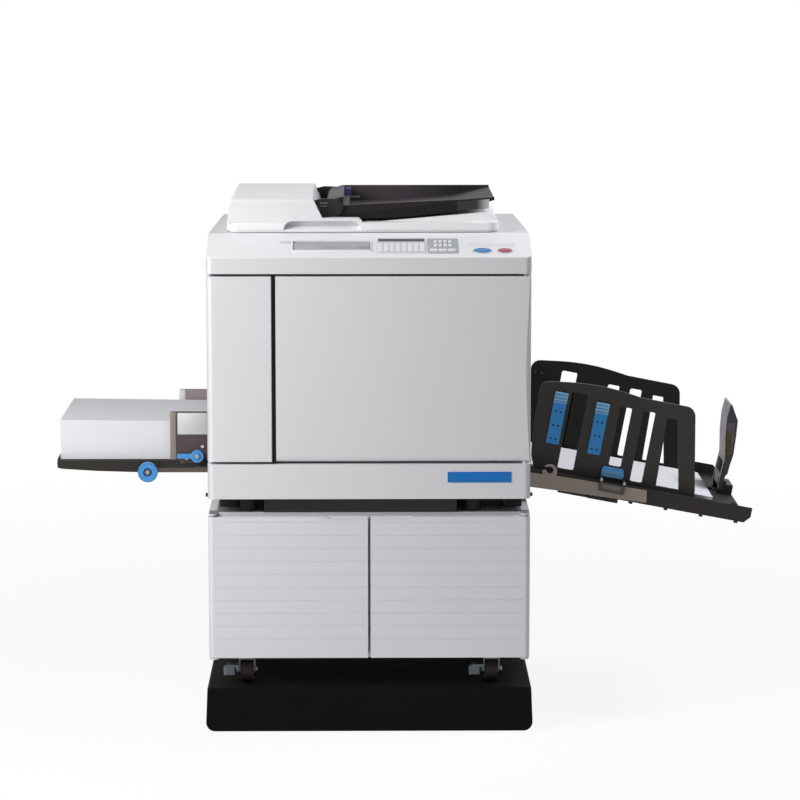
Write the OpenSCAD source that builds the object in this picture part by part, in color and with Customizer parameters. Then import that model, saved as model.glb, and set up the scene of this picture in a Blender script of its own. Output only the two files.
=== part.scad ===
// Digital duplicator on a cabinet stand, open for use with paper in both trays.
// Millimetres. +X to the machine's right, +Y to its back, +Z up.
// Origin: centre of the plinth's underside, below the middle of the machine.

/* [Plinth and casters] */
// Width of the black plinth
plinth_w = 648; // [600:1:720]
// Depth of the black plinth
plinth_d = 644; // [600:1:720]
// Height of the plinth
plinth_h = 89; // [50:1:120]
// Radius of the plinth's lower long corners
plinth_r = 18; // [4:1:24]
// Diameter of a caster wheel
wheel_d = 44; // [36:1:46]
// Tread width of a caster wheel
wheel_w = 25; // [16:1:32]
// Height from the plinth's top to the cabinet's floor
caster_h = 56; // [54:1:80]
// Distance of a caster's swivel axis from the middle plane
caster_x = 244; // [200:1:260]
// Distance of a caster's swivel axis from the front-to-back middle
caster_y = 256; // [200:1:270]

/* [Cabinet] */
// Width shared by the cabinet and the machine above it
body_w = 634; // [600:1:680]
// Depth shared by the cabinet and the machine above it
body_d = 640; // [600:1:700]
// Height of the cabinet from its underside to its top
cabinet_h = 293; // [240:1:340]
// Thickness of the cabinet's side, floor, top and back panels
panel_t = 16; // [10:1:20]
// Thickness of a cabinet door
cab_door_t = 20; // [16:1:24]
// Gap between the two cabinet doors
cab_seam = 5; // [3:0.5:8]
// Pitch of the fine grooves across the cabinet doors
groove_pitch = 26; // [15:1:40]
// Width of a door groove
groove_w = 1.5; // [1:0.5:4]
// Depth of a door groove
groove_depth = 0.5; // [0.5:0.5:3]
// Half length of the finger hollow in the doors' upper edge
grip_half = 84; // [50:1:120]
// Depth of the finger hollow below the doors' upper edge
grip_drop = 5; // [3:1:15]

/* [Machine housing] */
// Height of the feet between the cabinet and the machine
foot_h = 30; // [20:1:40]
// Diameter of a machine foot
foot_d = 32; // [24:1:44]
// Height of the base fascia
base_h = 69; // [50:1:90]
// Height of the front door
door_h = 365; // [320:1:420]
// Height of the upright strip above the door
strip_h = 30; // [20:1:50]
// Height of the scanner deck, and rise of the sloping control panel
deck_h = 39; // [25:1:60]
// Front-to-back length of the sloping control panel
panel_run = 120; // [80:1:160]
// Front-to-back length of the scanner deck at its full height
deck_run = 428; // [380:1:430]
// How far each side of the scanner deck draws in towards the back
deck_taper = 12; // [0:1:20]
// Thickness of the front door
door_t = 24; // [18:1:30]
// Radius of the bow in the front door's face
bow_r = 4000; // [2000:100:8000]
// Width of the fixed cover left of the front door
left_cover_w = 127; // [90:1:160]
// Gap between the fixed cover and the door's free edge
grip_gap = 8; // [6:0.5:14]
// Clearance around doors, lid and other swinging pieces
swing_gap = 5; // [5:0.5:8]
// Thickness of the side and back covers
cover_t = 8; // [4:1:12]
// Diameter of the hinge pins of all doors
pin_d = 8; // [5:0.5:10]
// Length of a door's hinge pin
pin_l = 15; // [10:1:20]
// Radial running clearance at pins, rods and shafts
run_gap = 0.3; // [0.2:0.05:0.5]

/* [Drum bay] */
// Diameter of the print drum
drum_d = 190; // [150:1:220]
// Length of the print drum
drum_l = 310; // [260:1:340]
// Place of the drum's axis right of the middle plane
drum_x = 40; // [0:1:80]
// Height of the drum's axis above the bay floor
drum_z = 175; // [130:1:210]
// Depth of the bay behind the door
bay_d = 420; // [380:1:460]

/* [Scanner lid and document feeder] */
// Left edge of the lid
lid_x0 = -281; // [-300:1:-260]
// Right edge of the lid
lid_x1 = 258; // [230:1:280]
// Front-to-back size of the lid
lid_d = 400; // [360:1:410]
// Thickness of the lid plate
lid_t = 15; // [12:1:26]
// Height of the feeder housing above the lid plate
feeder_h = 50; // [40:1:70]
// Width of the feeder housing at its top
feeder_w = 169; // [140:1:200]
// Lean of the feeder's right end, from top to bottom
feeder_lean = 24; // [10:1:40]
// Drop of the feeder's gently sloping top towards its front edge
feeder_fall = 3; // [2:0.5:8]
// Width of the hood over the finger hollow, right of the feeder housing
hood_w = 76; // [60:1:120]
// Width of the finger hollow under the feeder's front edge
hollow_w = 152; // [100:1:180]
// Depth of the finger hollow from front to back
hollow_d = 20; // [14:1:20]
// Front-to-back width of the document tray
doc_w = 300; // [240:1:320]
// Length of the document tray from its pivot
doc_l = 318; // [260:1:340]
// Radius of the document tray's hub
doc_hub_r = 17; // [14:1:19]
// Thickness of the cheeks that hold the document tray's pins
cheek_t = 6; // [4:0.5:8]
// Diameter of the lid's and the document tray's pins
lid_pin_d = 6; // [4:0.5:8]

/* [Paper feed tray] */
// Offset of the paper's middle line from the machine's middle
paper_y = 13; // [-20:1:40]
// Width of the paper in both trays
paper_w = 297; // [257:1:297]
// Length of the paper in both trays
paper_l = 420; // [364:1:420]
// Height of the paper stack in the feed tray
stack_h = 80; // [10:1:90]
// Fall of the stack's top from its outer end to its inner end
stack_fall = 6; // [0:0.5:8]
// How far the paper stack reaches into the machine
stack_in = 115; // [60:1:116]
// Height of the feed tray's top above the base fascia's lower edge
feed_z = 50; // [40:1:60]
// Thickness of the feed tray
feed_t = 16; // [12:1:18]
// Extra depth of the feed tray's belly outside its carriage
feed_belly = 9; // [4:1:12]
// How far the feed tray stands out beyond the paper
feed_out = 6; // [4:1:30]
// Highest lift of the feed tray
feed_lift_up = 38; // [10:1:45]
// Sideways travel of the feed tray each way
feed_shift = 10; // [4:1:12]
// Height of a feed fence above the tray
feed_fence_h = 98; // [60:1:110]
// Length of a feed fence along the tray
feed_fence_l = 75; // [50:1:90]
// Thickness of a feed fence
feed_fence_t = 8; // [5:0.5:12]
// Outward travel of each feed fence
feed_fence_out = 20; // [5:1:24]
// Diameter of the side position dial
dial_d = 40; // [30:1:48]
// Diameter of the fence lock knob
knob_d = 25; // [18:1:30]
// Diameter of the rods that guide the feed tray's lift
rod_d = 10; // [6:1:14]

/* [Receiving tray] */
// Slope of the receiving tray, falling away from the machine
slope = 10.6; // [6:0.1:14]
// Floor of the receiving tray beyond the stopper's slider, short of the ends of the side rails
tray_margin = 2; // [1:0.5:12]
// Thickness of the receiving tray's floor
tray_floor_t = 14; // [8:1:20]
// Height of the receiving tray's rim over its whole depth
tray_rim_h = 32; // [24:1:40]
// Thickness of the receiving tray's rim
tray_rim_t = 4; // [2:0.5:8]
// Height of the rear rim above the floor, beyond the fences
rear_rim_h = 22; // [8:1:30]
// Length of the steel arms that hang the receiving tray
arm_l = 241; // [160:1:300]
// Height of the arms at their outer end
arm_h = 25; // [16:1:40]
// Height of the delivered sheets
sheets_h = 6; // [1:0.5:20]
// Height of a receiving fence above the tray
fence_h = 180; // [170:1:220]
// Rise of the crown in a receiving fence's upper edge
fence_crown = 9; // [0:0.5:10]
// Length of a receiving fence along the tray
fence_l = 331; // [280:1:336]
// Thickness of a receiving fence
fence_t = 7; // [4:0.5:10]
// Radius of a receiving fence's upper corners
fence_r = 20; // [8:1:30]
// Lean of a receiving fence's inner end, as run over rise on the tray
fence_left_lean = 0.11; // [0.1:0.01:0.2]
// Outward travel of each receiving fence
fence_out = 20; // [5:1:20]
// Width of a paper arranger
arranger_w = 26; // [16:1:30]
// Length of a paper arranger
arranger_l = 106; // [70:1:110]
// Width of the end stopper
stopper_w = 104; // [100:1:160]
// Height of the end stopper above the tray
stopper_h = 186; // [160:1:230]
// Reach of the end stopper's bent face towards the sheets, ahead of its legs
stopper_lean = 10; // [4:0.5:14]
// Thickness of the end stopper's face plate
stopper_t = 4; // [3:0.5:8]
// Outward travel of the end stopper along the tray
stopper_out = 20; // [5:1:30]
// Length of the end stopper's slider beyond the stopper's face
slider_l = 34; // [34:1:50]

/* [Hidden] */
$fn = 48;
eps = 0.01;

// Heights of the stack of units, from the plinth up
cab_z0 = plinth_h + caster_h;
cab_z1 = cab_z0 + cabinet_h;
base_z0 = cab_z1 + foot_h;
base_z1 = base_z0 + base_h;
door_z0 = base_z1 + swing_gap;
door_z1 = door_z0 + door_h;
strip_z0 = door_z1 + swing_gap;
core_z1 = strip_z0 + strip_h;
deck_z1 = core_z1 + deck_h;
lid_z0 = deck_z1 + swing_gap;
lid_z1 = lid_z0 + lid_t;

// Main planes of the housing
side_x = body_w / 2;
front_y = -body_d / 2;
back_y = body_d / 2;
core_x = side_x - cover_t;
core_y0 = front_y + door_t + swing_gap;
core_y1 = back_y - cover_t;
cab_y0 = front_y + cab_door_t + swing_gap;
panel_y1 = front_y + panel_run;
deck_y1 = panel_y1 + deck_run;

// Hinge axes of the doors, at the middle of their thickness
cab_pin_x = side_x - cab_door_t / 2;
cab_pin_y = front_y + cab_door_t / 2;
cab_door_z0 = cab_z0 + 4;
cab_door_z1 = cab_z1 - 6;
pivot_t = 3;
pivot_l = 20;
door_pin_x = side_x - door_t / 2;
door_pin_y = front_y + door_t / 2;
door_x0 = -side_x + left_cover_w + grip_gap;

// Scanner lid hinge and document tray pivot
lid_pin_y = deck_y1 - 12;
lid_pin_z = lid_z0 + 9;
lid_y1 = lid_pin_y - 11;
lid_y0 = lid_y1 - lid_d;
feeder_z1 = lid_z1 + feeder_h;
feeder_x1 = lid_x0 + feeder_w;
hood_x1 = feeder_x1 + feeder_lean + hood_w;
hood_h = 9;
hood_roof = 4;
doc_pin_x = feeder_x1 + 44;
doc_pin_z = feeder_z1 - 22;

// Feed side: the throat is the space that the tray and paper reach into
feed_top = base_z0 + feed_z;
carriage_z1 = feed_top - feed_t - run_gap;
carriage_t = 13;
carriage_z0 = carriage_z1 - carriage_t;
throat_x = -side_x + stack_in + 11;
throat_half = paper_w / 2 + 46;
throat_z0 = carriage_z0 - 7;
throat_z1 = feed_top + stack_h + feed_lift_up + 15;
stack_x0 = -side_x - paper_l + stack_in;
feed_tray_x0 = stack_x0 - feed_out;
feed_half = paper_w / 2 + 14.5;
rod_x = throat_x - 27;
rod_y = throat_half - 23;
feed_fence_x = -side_x - 8 - feed_fence_l / 2;
feed_fence_y = paper_w / 2 + swing_gap;
groove_z = feed_top - 8;
dial_x = -side_x - 127;
dial_z = carriage_z1 - 4.5;
dial_front = feed_half + feed_shift + swing_gap + 1;
knob_x = feed_fence_x + 17;
knob_z = feed_top + 9.5;

// Receiving side: u runs down the slope from the machine, v stands square to the tray
tray_z = base_z0 + 34;
fence_in = paper_w / 2 + swing_gap + 1;
tray_half = fence_in + fence_t + fence_out + swing_gap + tray_rim_t;
sheets_u1 = 385;
stopper_u = sheets_u1 + swing_gap + stopper_lean + 3;
stopper_pin_v = sheets_h + swing_gap + 9;
groove_u1 = stopper_u + slider_l + stopper_out + swing_gap;
tray_l = groove_u1;
floor_u1 = stopper_u + slider_l + tray_margin;
rear_rail_u1 = tray_l - 16;
fence_u0 = 16;
pocket_x = side_x - 60;
pocket_half = paper_w / 2 + 12;
pocket_z0 = tray_z - 11;
pocket_z1 = tray_z + 150;

body_white = "#e2e3e6";
cabinet_white = "#cfd0d3";
black_plastic = "#22211f";
tray_grey = "#35332f";
brown_steel = "#6f625f";
blue_plastic = "#3f8fd0";
paper_white = "#e9eaed";

// Rectangle from corner to corner with four rounded corners
module round_rect(x0, y0, x1, y1, r) {
    translate([x0 + r, y0]) square([x1 - x0 - 2 * r, y1 - y0]);
    translate([x0, y0 + r]) square([x1 - x0, y1 - y0 - 2 * r]);
    for (x = [x0 + r, x1 - r], y = [y0 + r, y1 - r]) translate([x, y]) circle(r);
}

// Box from corner to corner
module block(p0, p1) {
    translate(p0) cube(p1 - p0);
}

// Upright extrusion of a plan outline
module upright(z0, z1) {
    translate([0, 0, z0]) linear_extrude(z1 - z0) children();
}

// Extrusion along X of an outline given as (y, z)
module along_x(x0, x1) {
    translate([x0, 0, 0]) rotate([90, 0, 90]) linear_extrude(x1 - x0) children();
}

// Extrusion along Y of an outline given as (x, z)
module along_y(y0, y1) {
    translate([0, y1, 0]) rotate([90, 0, 0]) linear_extrude(y1 - y0) children();
}

// Rod along Y
module rod_along_y(x, z, r, y0, y1) {
    translate([x, y0, z]) rotate([-90, 0, 0]) cylinder(r = r, h = y1 - y0);
}

// Rod along X
module rod_along_x(y, z, r, x0, x1) {
    translate([x0, y, z]) rotate([0, 90, 0]) cylinder(r = r, h = x1 - x0);
}

// ---------------------------------------------------------------- stand

module plinth() {
    inset = 3;
    color(black_plastic) along_y(-plinth_d / 2, plinth_d / 2) {
        translate([-plinth_w / 2 + plinth_r, 0]) square([plinth_w - 2 * plinth_r, plinth_h]);
        polygon([[-plinth_w / 2, plinth_r], [plinth_w / 2, plinth_r],
            [plinth_w / 2 - inset, plinth_h], [-plinth_w / 2 + inset, plinth_h]]);
        for (s = [-1, 1]) translate([s * (plinth_w / 2 - plinth_r), plinth_r]) circle(plinth_r);
    }
}

module at_casters() {
    for (x = [-caster_x, caster_x], y = [-caster_y, caster_y]) translate([x, y, plinth_h]) children();
}

// Fork of a parked caster: mounting plate, swivel, two cheeks and the brake pedal on its left
module caster_forks() {
    cheek_t = 3;
    cheek_x = wheel_w / 2 + 1;
    axle_z = wheel_d / 2;
    crown_z = wheel_d + 2;
    pedal_l = 24;
    color("#8d9090") at_casters() {
        block([-29, -29, caster_h - 3], [29, 29, caster_h]);
        translate([0, 0, crown_z]) cylinder(d = 34, h = caster_h - 3 - crown_z + eps);
        block([-cheek_x - cheek_t, -17, crown_z], [cheek_x + cheek_t, 17, crown_z + cheek_t]);
        for (s = [-1, 1]) {
            along_x(s * (cheek_x + cheek_t / 2) - cheek_t / 2, s * (cheek_x + cheek_t / 2) + cheek_t / 2) {
                translate([0, axle_z]) circle(11);
                translate([-11, axle_z]) square([22, crown_z - axle_z + cheek_t]);
            }
        }
        rod_along_x(0, axle_z, 4, -cheek_x - cheek_t - 2, cheek_x + cheek_t + 2);
        block([-cheek_x - cheek_t - pedal_l, -30, axle_z + 12], [-cheek_x - cheek_t + eps, -12, axle_z + 16]);
        block([-cheek_x - cheek_t - 3, -20, axle_z], [-cheek_x - cheek_t + eps, -8, axle_z + 16]);
    }
}

module caster_wheels() {
    groove = 1;
    color("#2b2a29") at_casters() difference() {
        rod_along_x(0, wheel_d / 2, wheel_d / 2, -wheel_w / 2, wheel_w / 2);
        rod_along_x(0, wheel_d / 2, 4 + groove, -wheel_w / 2 - eps, wheel_w / 2 + eps);
    }
}

// Tab at a door's outer corner, let into the side panel, with the door's hinge pin
module pivot_tab(s, z0, pin_z0, pin_z1) {
    upright(z0, z0 + pivot_t) {
        translate([s * cab_pin_x, cab_pin_y]) circle(cab_door_t / 2 - 1);
        translate([s * cab_pin_x - cab_door_t / 2 + 1, cab_pin_y])
            square([cab_door_t - 2, cab_y0 - cab_pin_y + pivot_l]);
    }
    translate([s * cab_pin_x, cab_pin_y, pin_z0]) cylinder(d = pin_d, h = pin_z1 - pin_z0);
}

// Floor with the pivot tabs, and the thin stile that closes the seam between the doors
module cabinet_floor() {
    color(cabinet_white) {
        block([-side_x + panel_t, cab_y0, cab_z0], [side_x - panel_t, back_y - panel_t, cab_z0 + panel_t]);
        block([-14, cab_y0, cab_z0], [14, cab_y0 + 2, cab_z1 - panel_t]);
        for (s = [-1, 1]) pivot_tab(s, cab_z0, cab_z0, cab_door_z0 + pin_l);
    }
}

// Sides and back, folded from one sheet, notched at the front for the pivot tabs
module cabinet_shell() {
    notch_y = cab_y0 + pivot_l + run_gap;
    color(cabinet_white) difference() {
        block([-side_x, cab_y0, cab_z0], [side_x, back_y, cab_z1]);
        block([-side_x + panel_t, cab_y0 - 1, cab_z0 - 1], [side_x - panel_t, back_y - panel_t, cab_z1 + 1]);
        for (x = [-side_x, side_x], z = [cab_z0 + pivot_t / 2, cab_z1 - pivot_t / 2])
            block([x - panel_t - 1, cab_y0 - 1, z - pivot_t / 2 - run_gap],
                [x + panel_t + 1, notch_y, z + pivot_t / 2 + run_gap]);
    }
}

module cabinet_top() {
    color(cabinet_white) {
        block([-side_x + panel_t, cab_y0, cab_z1 - panel_t], [side_x - panel_t, back_y - panel_t, cab_z1]);
        for (s = [-1, 1]) pivot_tab(s, cab_z1 - pivot_t, cab_door_z1 - pin_l, cab_z1);
    }
}

// One cabinet door, s = -1 left or 1 right: its outer edge is rounded about the hinge pin
module cabinet_door(s) {
    inner_x = cab_seam / 2;
    grooves = floor((cab_door_z1 - cab_door_z0 - 8) / groove_pitch);
    color(cabinet_white) difference() {
        upright(cab_door_z0, cab_door_z1) {
            translate([s * cab_pin_x, cab_pin_y]) circle(cab_door_t / 2);
            translate([s > 0 ? inner_x : -cab_pin_x, front_y]) square([cab_pin_x - inner_x, cab_door_t]);
        }
        for (i = [1 : grooves]) {
            z = cab_door_z1 - 10 - (i - 1) * groove_pitch;
            block([-side_x, front_y - eps, z - groove_w], [side_x, front_y + groove_depth, z]);
        }
        along_y(front_y - eps, front_y + cab_door_t * 0.6) polygon([[-grip_half, cab_door_z1 + eps],
            [-grip_half + 8, cab_door_z1 - grip_drop], [grip_half - 8, cab_door_z1 - grip_drop],
            [grip_half, cab_door_z1 + eps]]);
        for (z = [cab_door_z0 - eps, cab_door_z1 - pin_l - run_gap])
            translate([s * cab_pin_x, cab_pin_y, z]) cylinder(r = pin_d / 2 + run_gap, h = pin_l + 0.5);
    }
}

module cabinet_door_left() {
    cabinet_door(-1);
}

module cabinet_door_right() {
    cabinet_door(1);
}

// ---------------------------------------------------------------- machine underside

// Black beams and blocks that carry the machine on the cabinet, front and back
module base_beams() {
    color(black_plastic) for (m = [0, 1]) mirror([0, m, 0]) {
        block([-side_x + 110, front_y + 23, cab_z1], [side_x - 144, front_y + 63, base_z0]);
        for (x = [-side_x + 19, side_x - 51]) block([x, front_y + 83, cab_z1], [x + 38, front_y + 123, base_z0]);
    }
}

// Round feet with a wider cap under the machine's base
module machine_feet() {
    color("#1d1c1b") for (x = [-side_x + 77, side_x - 113], m = [0, 1]) mirror([0, m, 0])
        translate([x, front_y + 49, cab_z1]) {
            cylinder(d = foot_d, h = foot_h);
            translate([0, 0, foot_h - 5]) cylinder(d = foot_d + 6, h = 5);
        }
}

module throat() {
    block([-side_x - 20, paper_y - throat_half, throat_z0], [throat_x, paper_y + throat_half, throat_z1]);
}

module delivery_pocket() {
    block([pocket_x, paper_y - pocket_half, pocket_z0], [side_x + 20, paper_y + pocket_half, pocket_z1]);
}

module machine_base() {
    color("#5a5a5c") difference() {
        block([-core_x, core_y0, base_z0], [core_x, core_y1, base_z1]);
        throat();
        delivery_pocket();
    }
}

// Plan outline of a front cover: rounded outer vertical edges
module cover_plan(x0, x1, r, depth, left_round, right_round) {
    a = left_round ? r : 0;
    b = right_round ? r : 0;
    translate([x0 + a, front_y]) square([x1 - x0 - a - b, depth]);
    if (left_round) {
        translate([x0 + r, front_y + r]) circle(r);
        translate([x0, front_y + r]) square([r + eps, depth - r]);
    }
    if (right_round) {
        translate([x1 - r, front_y + r]) circle(r);
        translate([x1 - r - eps, front_y + r]) square([r + eps, depth - r]);
    }
}

// Lower front cover, with the front door's lower hinge pin
module base_fascia() {
    color(body_white) {
        upright(base_z0, base_z1) cover_plan(-side_x, side_x, door_t / 2, door_t + swing_gap, true, true);
        translate([door_pin_x, door_pin_y, base_z1 - 1]) cylinder(d = pin_d, h = pin_l + swing_gap + 1);
    }
}

// Closed inner mass of the machine, cut away for the drum bay, the feed throat and the delivery pocket
module body_core() {
    color("#8c8d90") difference() {
        block([-core_x, core_y0, base_z1], [core_x, core_y1, core_z1]);
        block([door_x0 + 14, core_y0 - eps, base_z1 + 14], [core_x - 30, core_y0 + bay_d, core_z1 - 45]);
        throat();
        delivery_pocket();
    }
}

module side_cover(s) {
    block([s * (side_x - cover_t / 2) - cover_t / 2, core_y0, base_z0],
        [s * (side_x - cover_t / 2) + cover_t / 2, core_y1, core_z1]);
}

module left_side_cover() {
    color(body_white) difference() {
        side_cover(-1);
        throat();
    }
}

module right_side_cover() {
    color("#b4b4b8") difference() {
        side_cover(1);
        delivery_pocket();
    }
}

module back_cover() {
    color("#c9cacd") difference() {
        block([-side_x, core_y1, base_z0], [side_x, back_y, core_z1]);
        for (i = [0 : 9]) block([-side_x + 60, back_y - 3, base_z1 + 60 + i * 12], [-side_x + 200, back_y + eps,
            base_z1 + 65 + i * 12]);
    }
}

module left_front_cover() {
    color(body_white) upright(door_z0, door_z1)
        cover_plan(-side_x, -side_x + left_cover_w, door_t / 2, door_t + swing_gap, true, false);
}

// How far the front door's bowed face falls back at height z
function bow(z) = bow_r - sqrt(pow(bow_r, 2) - pow(z - (door_z0 + door_z1) / 2, 2));

// Front door: bowed face, lower edge rolled in, outer edge rounded about its pins
module front_door() {
    roll = 14;
    steps = 20;
    face = [for (i = [0 : steps]) let (z = door_z0 + roll + (door_h - roll) * i / steps) [front_y + bow(z), z]];
    edge_y = front_y + bow(door_z0 + roll);
    color(body_white) difference() {
        intersection() {
            upright(door_z0, door_z1) {
                translate([door_pin_x, door_pin_y]) circle(door_t / 2);
                translate([door_x0, front_y]) square([door_pin_x - door_x0, door_t]);
            }
            along_x(door_x0 - 1, side_x + 1) polygon(concat(
                [[front_y + door_t + 1, door_z0], [edge_y + 5, door_z0], [edge_y + 2, door_z0 + 3],
                    [edge_y + 0.6, door_z0 + 8]],
                face, [[front_y + door_t + 1, door_z1]]));
        }
        for (z = [door_z0 - eps, door_z1 - pin_l - run_gap])
            translate([door_pin_x, door_pin_y, z]) cylinder(r = pin_d / 2 + run_gap, h = pin_l + 0.5);
    }
}

// Upright strip above the door, with the door's upper hinge pin
module top_strip() {
    color(body_white) {
        upright(strip_z0, core_z1) cover_plan(-side_x, side_x, door_t / 2, door_t + swing_gap, true, true);
        translate([door_pin_x, door_pin_y, strip_z0 - pin_l - swing_gap]) cylinder(d = pin_d, h = pin_l + swing_gap + 1);
    }
}

// ---------------------------------------------------------------- top of the machine

// Control panel that slopes up from the front strip to the scanner deck
module control_panel() {
    lip = 3;
    color("#ececef") difference() {
        along_x(-side_x, side_x) polygon([[front_y, core_z1], [front_y, core_z1 + lip - 1],
            [front_y + 1, core_z1 + lip], [panel_y1, deck_z1], [panel_y1, core_z1]]);
        for (s = [-1, 1]) upright(core_z1 - 1, deck_z1 + 1) difference() {
            translate([s * side_x - door_t / 2, front_y - door_t / 2]) square(door_t);
            translate([s * (side_x - door_t / 2), front_y + door_t / 2]) circle(door_t / 2);
        }
    }
}

// Scanner deck with the pocket for the stage glass and the ears and pins of the lid's hinges
module scanner_deck() {
    ear = 8;
    shelf_h = 14;
    color(body_white) {
        difference() {
            union() {
                block([-side_x, panel_y1, core_z1], [side_x, back_y, core_z1 + shelf_h]);
                intersection() {
                    along_x(-side_x, side_x) polygon([[panel_y1, core_z1], [deck_y1 + 8, core_z1],
                        [deck_y1 + 8, core_z1 + shelf_h], [deck_y1, deck_z1], [panel_y1, deck_z1]]);
                    upright(core_z1, deck_z1) polygon([[-side_x, panel_y1], [side_x, panel_y1],
                        [side_x - deck_taper, deck_y1 + 8], [-side_x + deck_taper, deck_y1 + 8]]);
                }
            }
            block([lid_x0 + 50, lid_y0 + 35, deck_z1 - 4], [lid_x1 - 53, lid_y1 - 55, deck_z1 + 1]);
        }
        for (x = lid_hinge_x()) {
            for (s = [-1, 1]) along_x(x + s * 20 - ear / 2, x + s * 20 + ear / 2) {
                translate([lid_pin_y, lid_pin_z]) circle(8);
                translate([lid_pin_y - 8, deck_z1 - 1]) square([16, lid_pin_z - deck_z1 + 1]);
            }
            rod_along_x(lid_pin_y, lid_pin_z, lid_pin_d / 2, x - 20, x + 20);
        }
    }
}

function lid_hinge_x() = [lid_x0 + 90, lid_x1 - 90];

module stage_glass() {
    color("#9fb0b4") block([lid_x0 + 50, lid_y0 + 35, deck_z1 - 4], [lid_x1 - 53, lid_y1 - 55, deck_z1]);
}

// Print drum lying front to back in its bay, with end flanges, an axle and a handle bar
module print_drum() {
    y0 = core_y0 + 40;
    z = base_z1 + 14 + drum_z;
    color("#3c6f9c") {
        rod_along_y(drum_x, z, drum_d / 2, y0 + 12, y0 + drum_l);
        rod_along_y(drum_x, z, drum_d / 2 + 6, y0, y0 + 12 + eps);
        rod_along_y(drum_x, z, 20, y0 - 14, core_y0 + bay_d);
        block([drum_x - 60, y0 - 30, z - 8], [drum_x + 60, y0 - 14 + eps, z + 8]);
    }
}

// Outline as (x, z) of the finger hollow under the feeder's front edge, round at its upper ends
module hollow_outline(top) {
    r = top - lid_z0 - 1;
    x1 = hood_x1 - 4;
    translate([x1 - hollow_w + r, lid_z0 - 1]) square([hollow_w - 2 * r, r + 1]);
    intersection() {
        translate([x1 - hollow_w, lid_z0 - 1]) square([hollow_w, r + 1]);
        for (x = [x1 - hollow_w + r, x1 - r]) translate([x, lid_z0]) circle(r);
    }
}

// Lid plate with the ramp that catches the originals, the finger hollow in front and hinge knuckles behind
module scanner_lid() {
    ramp_x0 = hood_x1 + 26;
    ramp_x2 = lid_x1 - 26;
    ramp_h = 18;
    color("#eeeef2") difference() {
        union() {
            upright(lid_z0, lid_z1) round_rect(lid_x0, lid_y0, lid_x1, lid_y1, 22);
            along_y(lid_y0 + 30, lid_y1 - 14) polygon([[ramp_x0, lid_z1 - 1], [(ramp_x0 + ramp_x2) / 2, lid_z1 + ramp_h / 2],
                [ramp_x2, lid_z1 + ramp_h], [lid_x1 - 10, lid_z1 + ramp_h * 0.7], [lid_x1 - 4, lid_z1 - 1]]);
            for (x = lid_hinge_x()) along_x(x - 15, x + 15) {
                translate([lid_pin_y, lid_pin_z]) circle(9);
                translate([lid_y1 - 5, lid_pin_z - 9]) square([lid_pin_y - lid_y1 + 5, 18]);
            }
        }
        for (x = lid_hinge_x()) rod_along_x(lid_pin_y, lid_pin_z, lid_pin_d / 2 + run_gap, x - 16, x + 16);
        along_y(lid_y0 - 1, lid_y0 + hollow_d) hollow_outline(lid_z1 + hood_roof);
    }
}

// Feeder housing: gently sloping top, leaning right end, and the hood over the finger hollow
module feeder_housing() {
    y1 = lid_y1 - 20;
    front_z = feeder_z1 - feeder_fall;
    color("#eeeef2") difference() {
        union() {
            intersection() {
                along_y(lid_y0, y1) polygon([[lid_x0, lid_z1], [lid_x0 + 9, front_z], [lid_x0 + 13, feeder_z1],
                    [feeder_x1, feeder_z1], [feeder_x1 + feeder_lean, lid_z1]]);
                along_x(lid_x0, feeder_x1 + feeder_lean + 1) polygon([[lid_y0, lid_z1], [lid_y0 + 2, front_z - 6],
                    [lid_y0 + 4, front_z - 2], [lid_y0 + 9, front_z], [lid_y0 + 60, feeder_z1 - feeder_fall * 0.35],
                    [lid_y0 + 130, feeder_z1], [y1 - 24, feeder_z1], [y1 - 6, feeder_z1 - 8], [y1, feeder_z1 - 24],
                    [y1, lid_z1]]);
            }
            along_y(lid_y0, lid_y0 + hollow_d + 3) {
                square_x = hood_x1 - 14;
                translate([feeder_x1, lid_z1]) square([square_x - feeder_x1, hood_h]);
                intersection() {
                    translate([square_x, lid_z1 - 4]) circle(14);
                    translate([square_x, lid_z1]) square([14, hood_h]);
                }
            }
        }
        along_y(lid_y0 - 1, lid_y0 + hollow_d) hollow_outline(lid_z1 + hood_roof);
    }
}

function doc_y() = lid_y0 + 30 + doc_w / 2;

// Point on the feeder's leaning right end at height z
function feeder_end(z) = [feeder_x1 + feeder_lean * (feeder_z1 - z) / feeder_h, z];

// Black cheeks on the feeder's right end, outside the document tray, with the tray's pivot pins
module tray_cheeks() {
    pin_in = 22;
    color("#242225") for (s = [-1, 1]) {
        y = doc_y() + s * (doc_w / 2 + run_gap + cheek_t / 2 + 1);
        along_y(y - cheek_t / 2, y + cheek_t / 2) {
            translate([doc_pin_x, doc_pin_z]) circle(doc_hub_r);
            polygon([feeder_end(doc_pin_z - 20), [doc_pin_x, doc_pin_z - doc_hub_r],
                [doc_pin_x, doc_pin_z + doc_hub_r], [doc_pin_x - 24, doc_pin_z + doc_hub_r + 1],
                feeder_end(doc_pin_z + 14)]);
        }
        rod_along_y(doc_pin_x, doc_pin_z, lid_pin_d / 2, min(y, y - s * pin_in), max(y, y - s * pin_in));
    }
}

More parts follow.
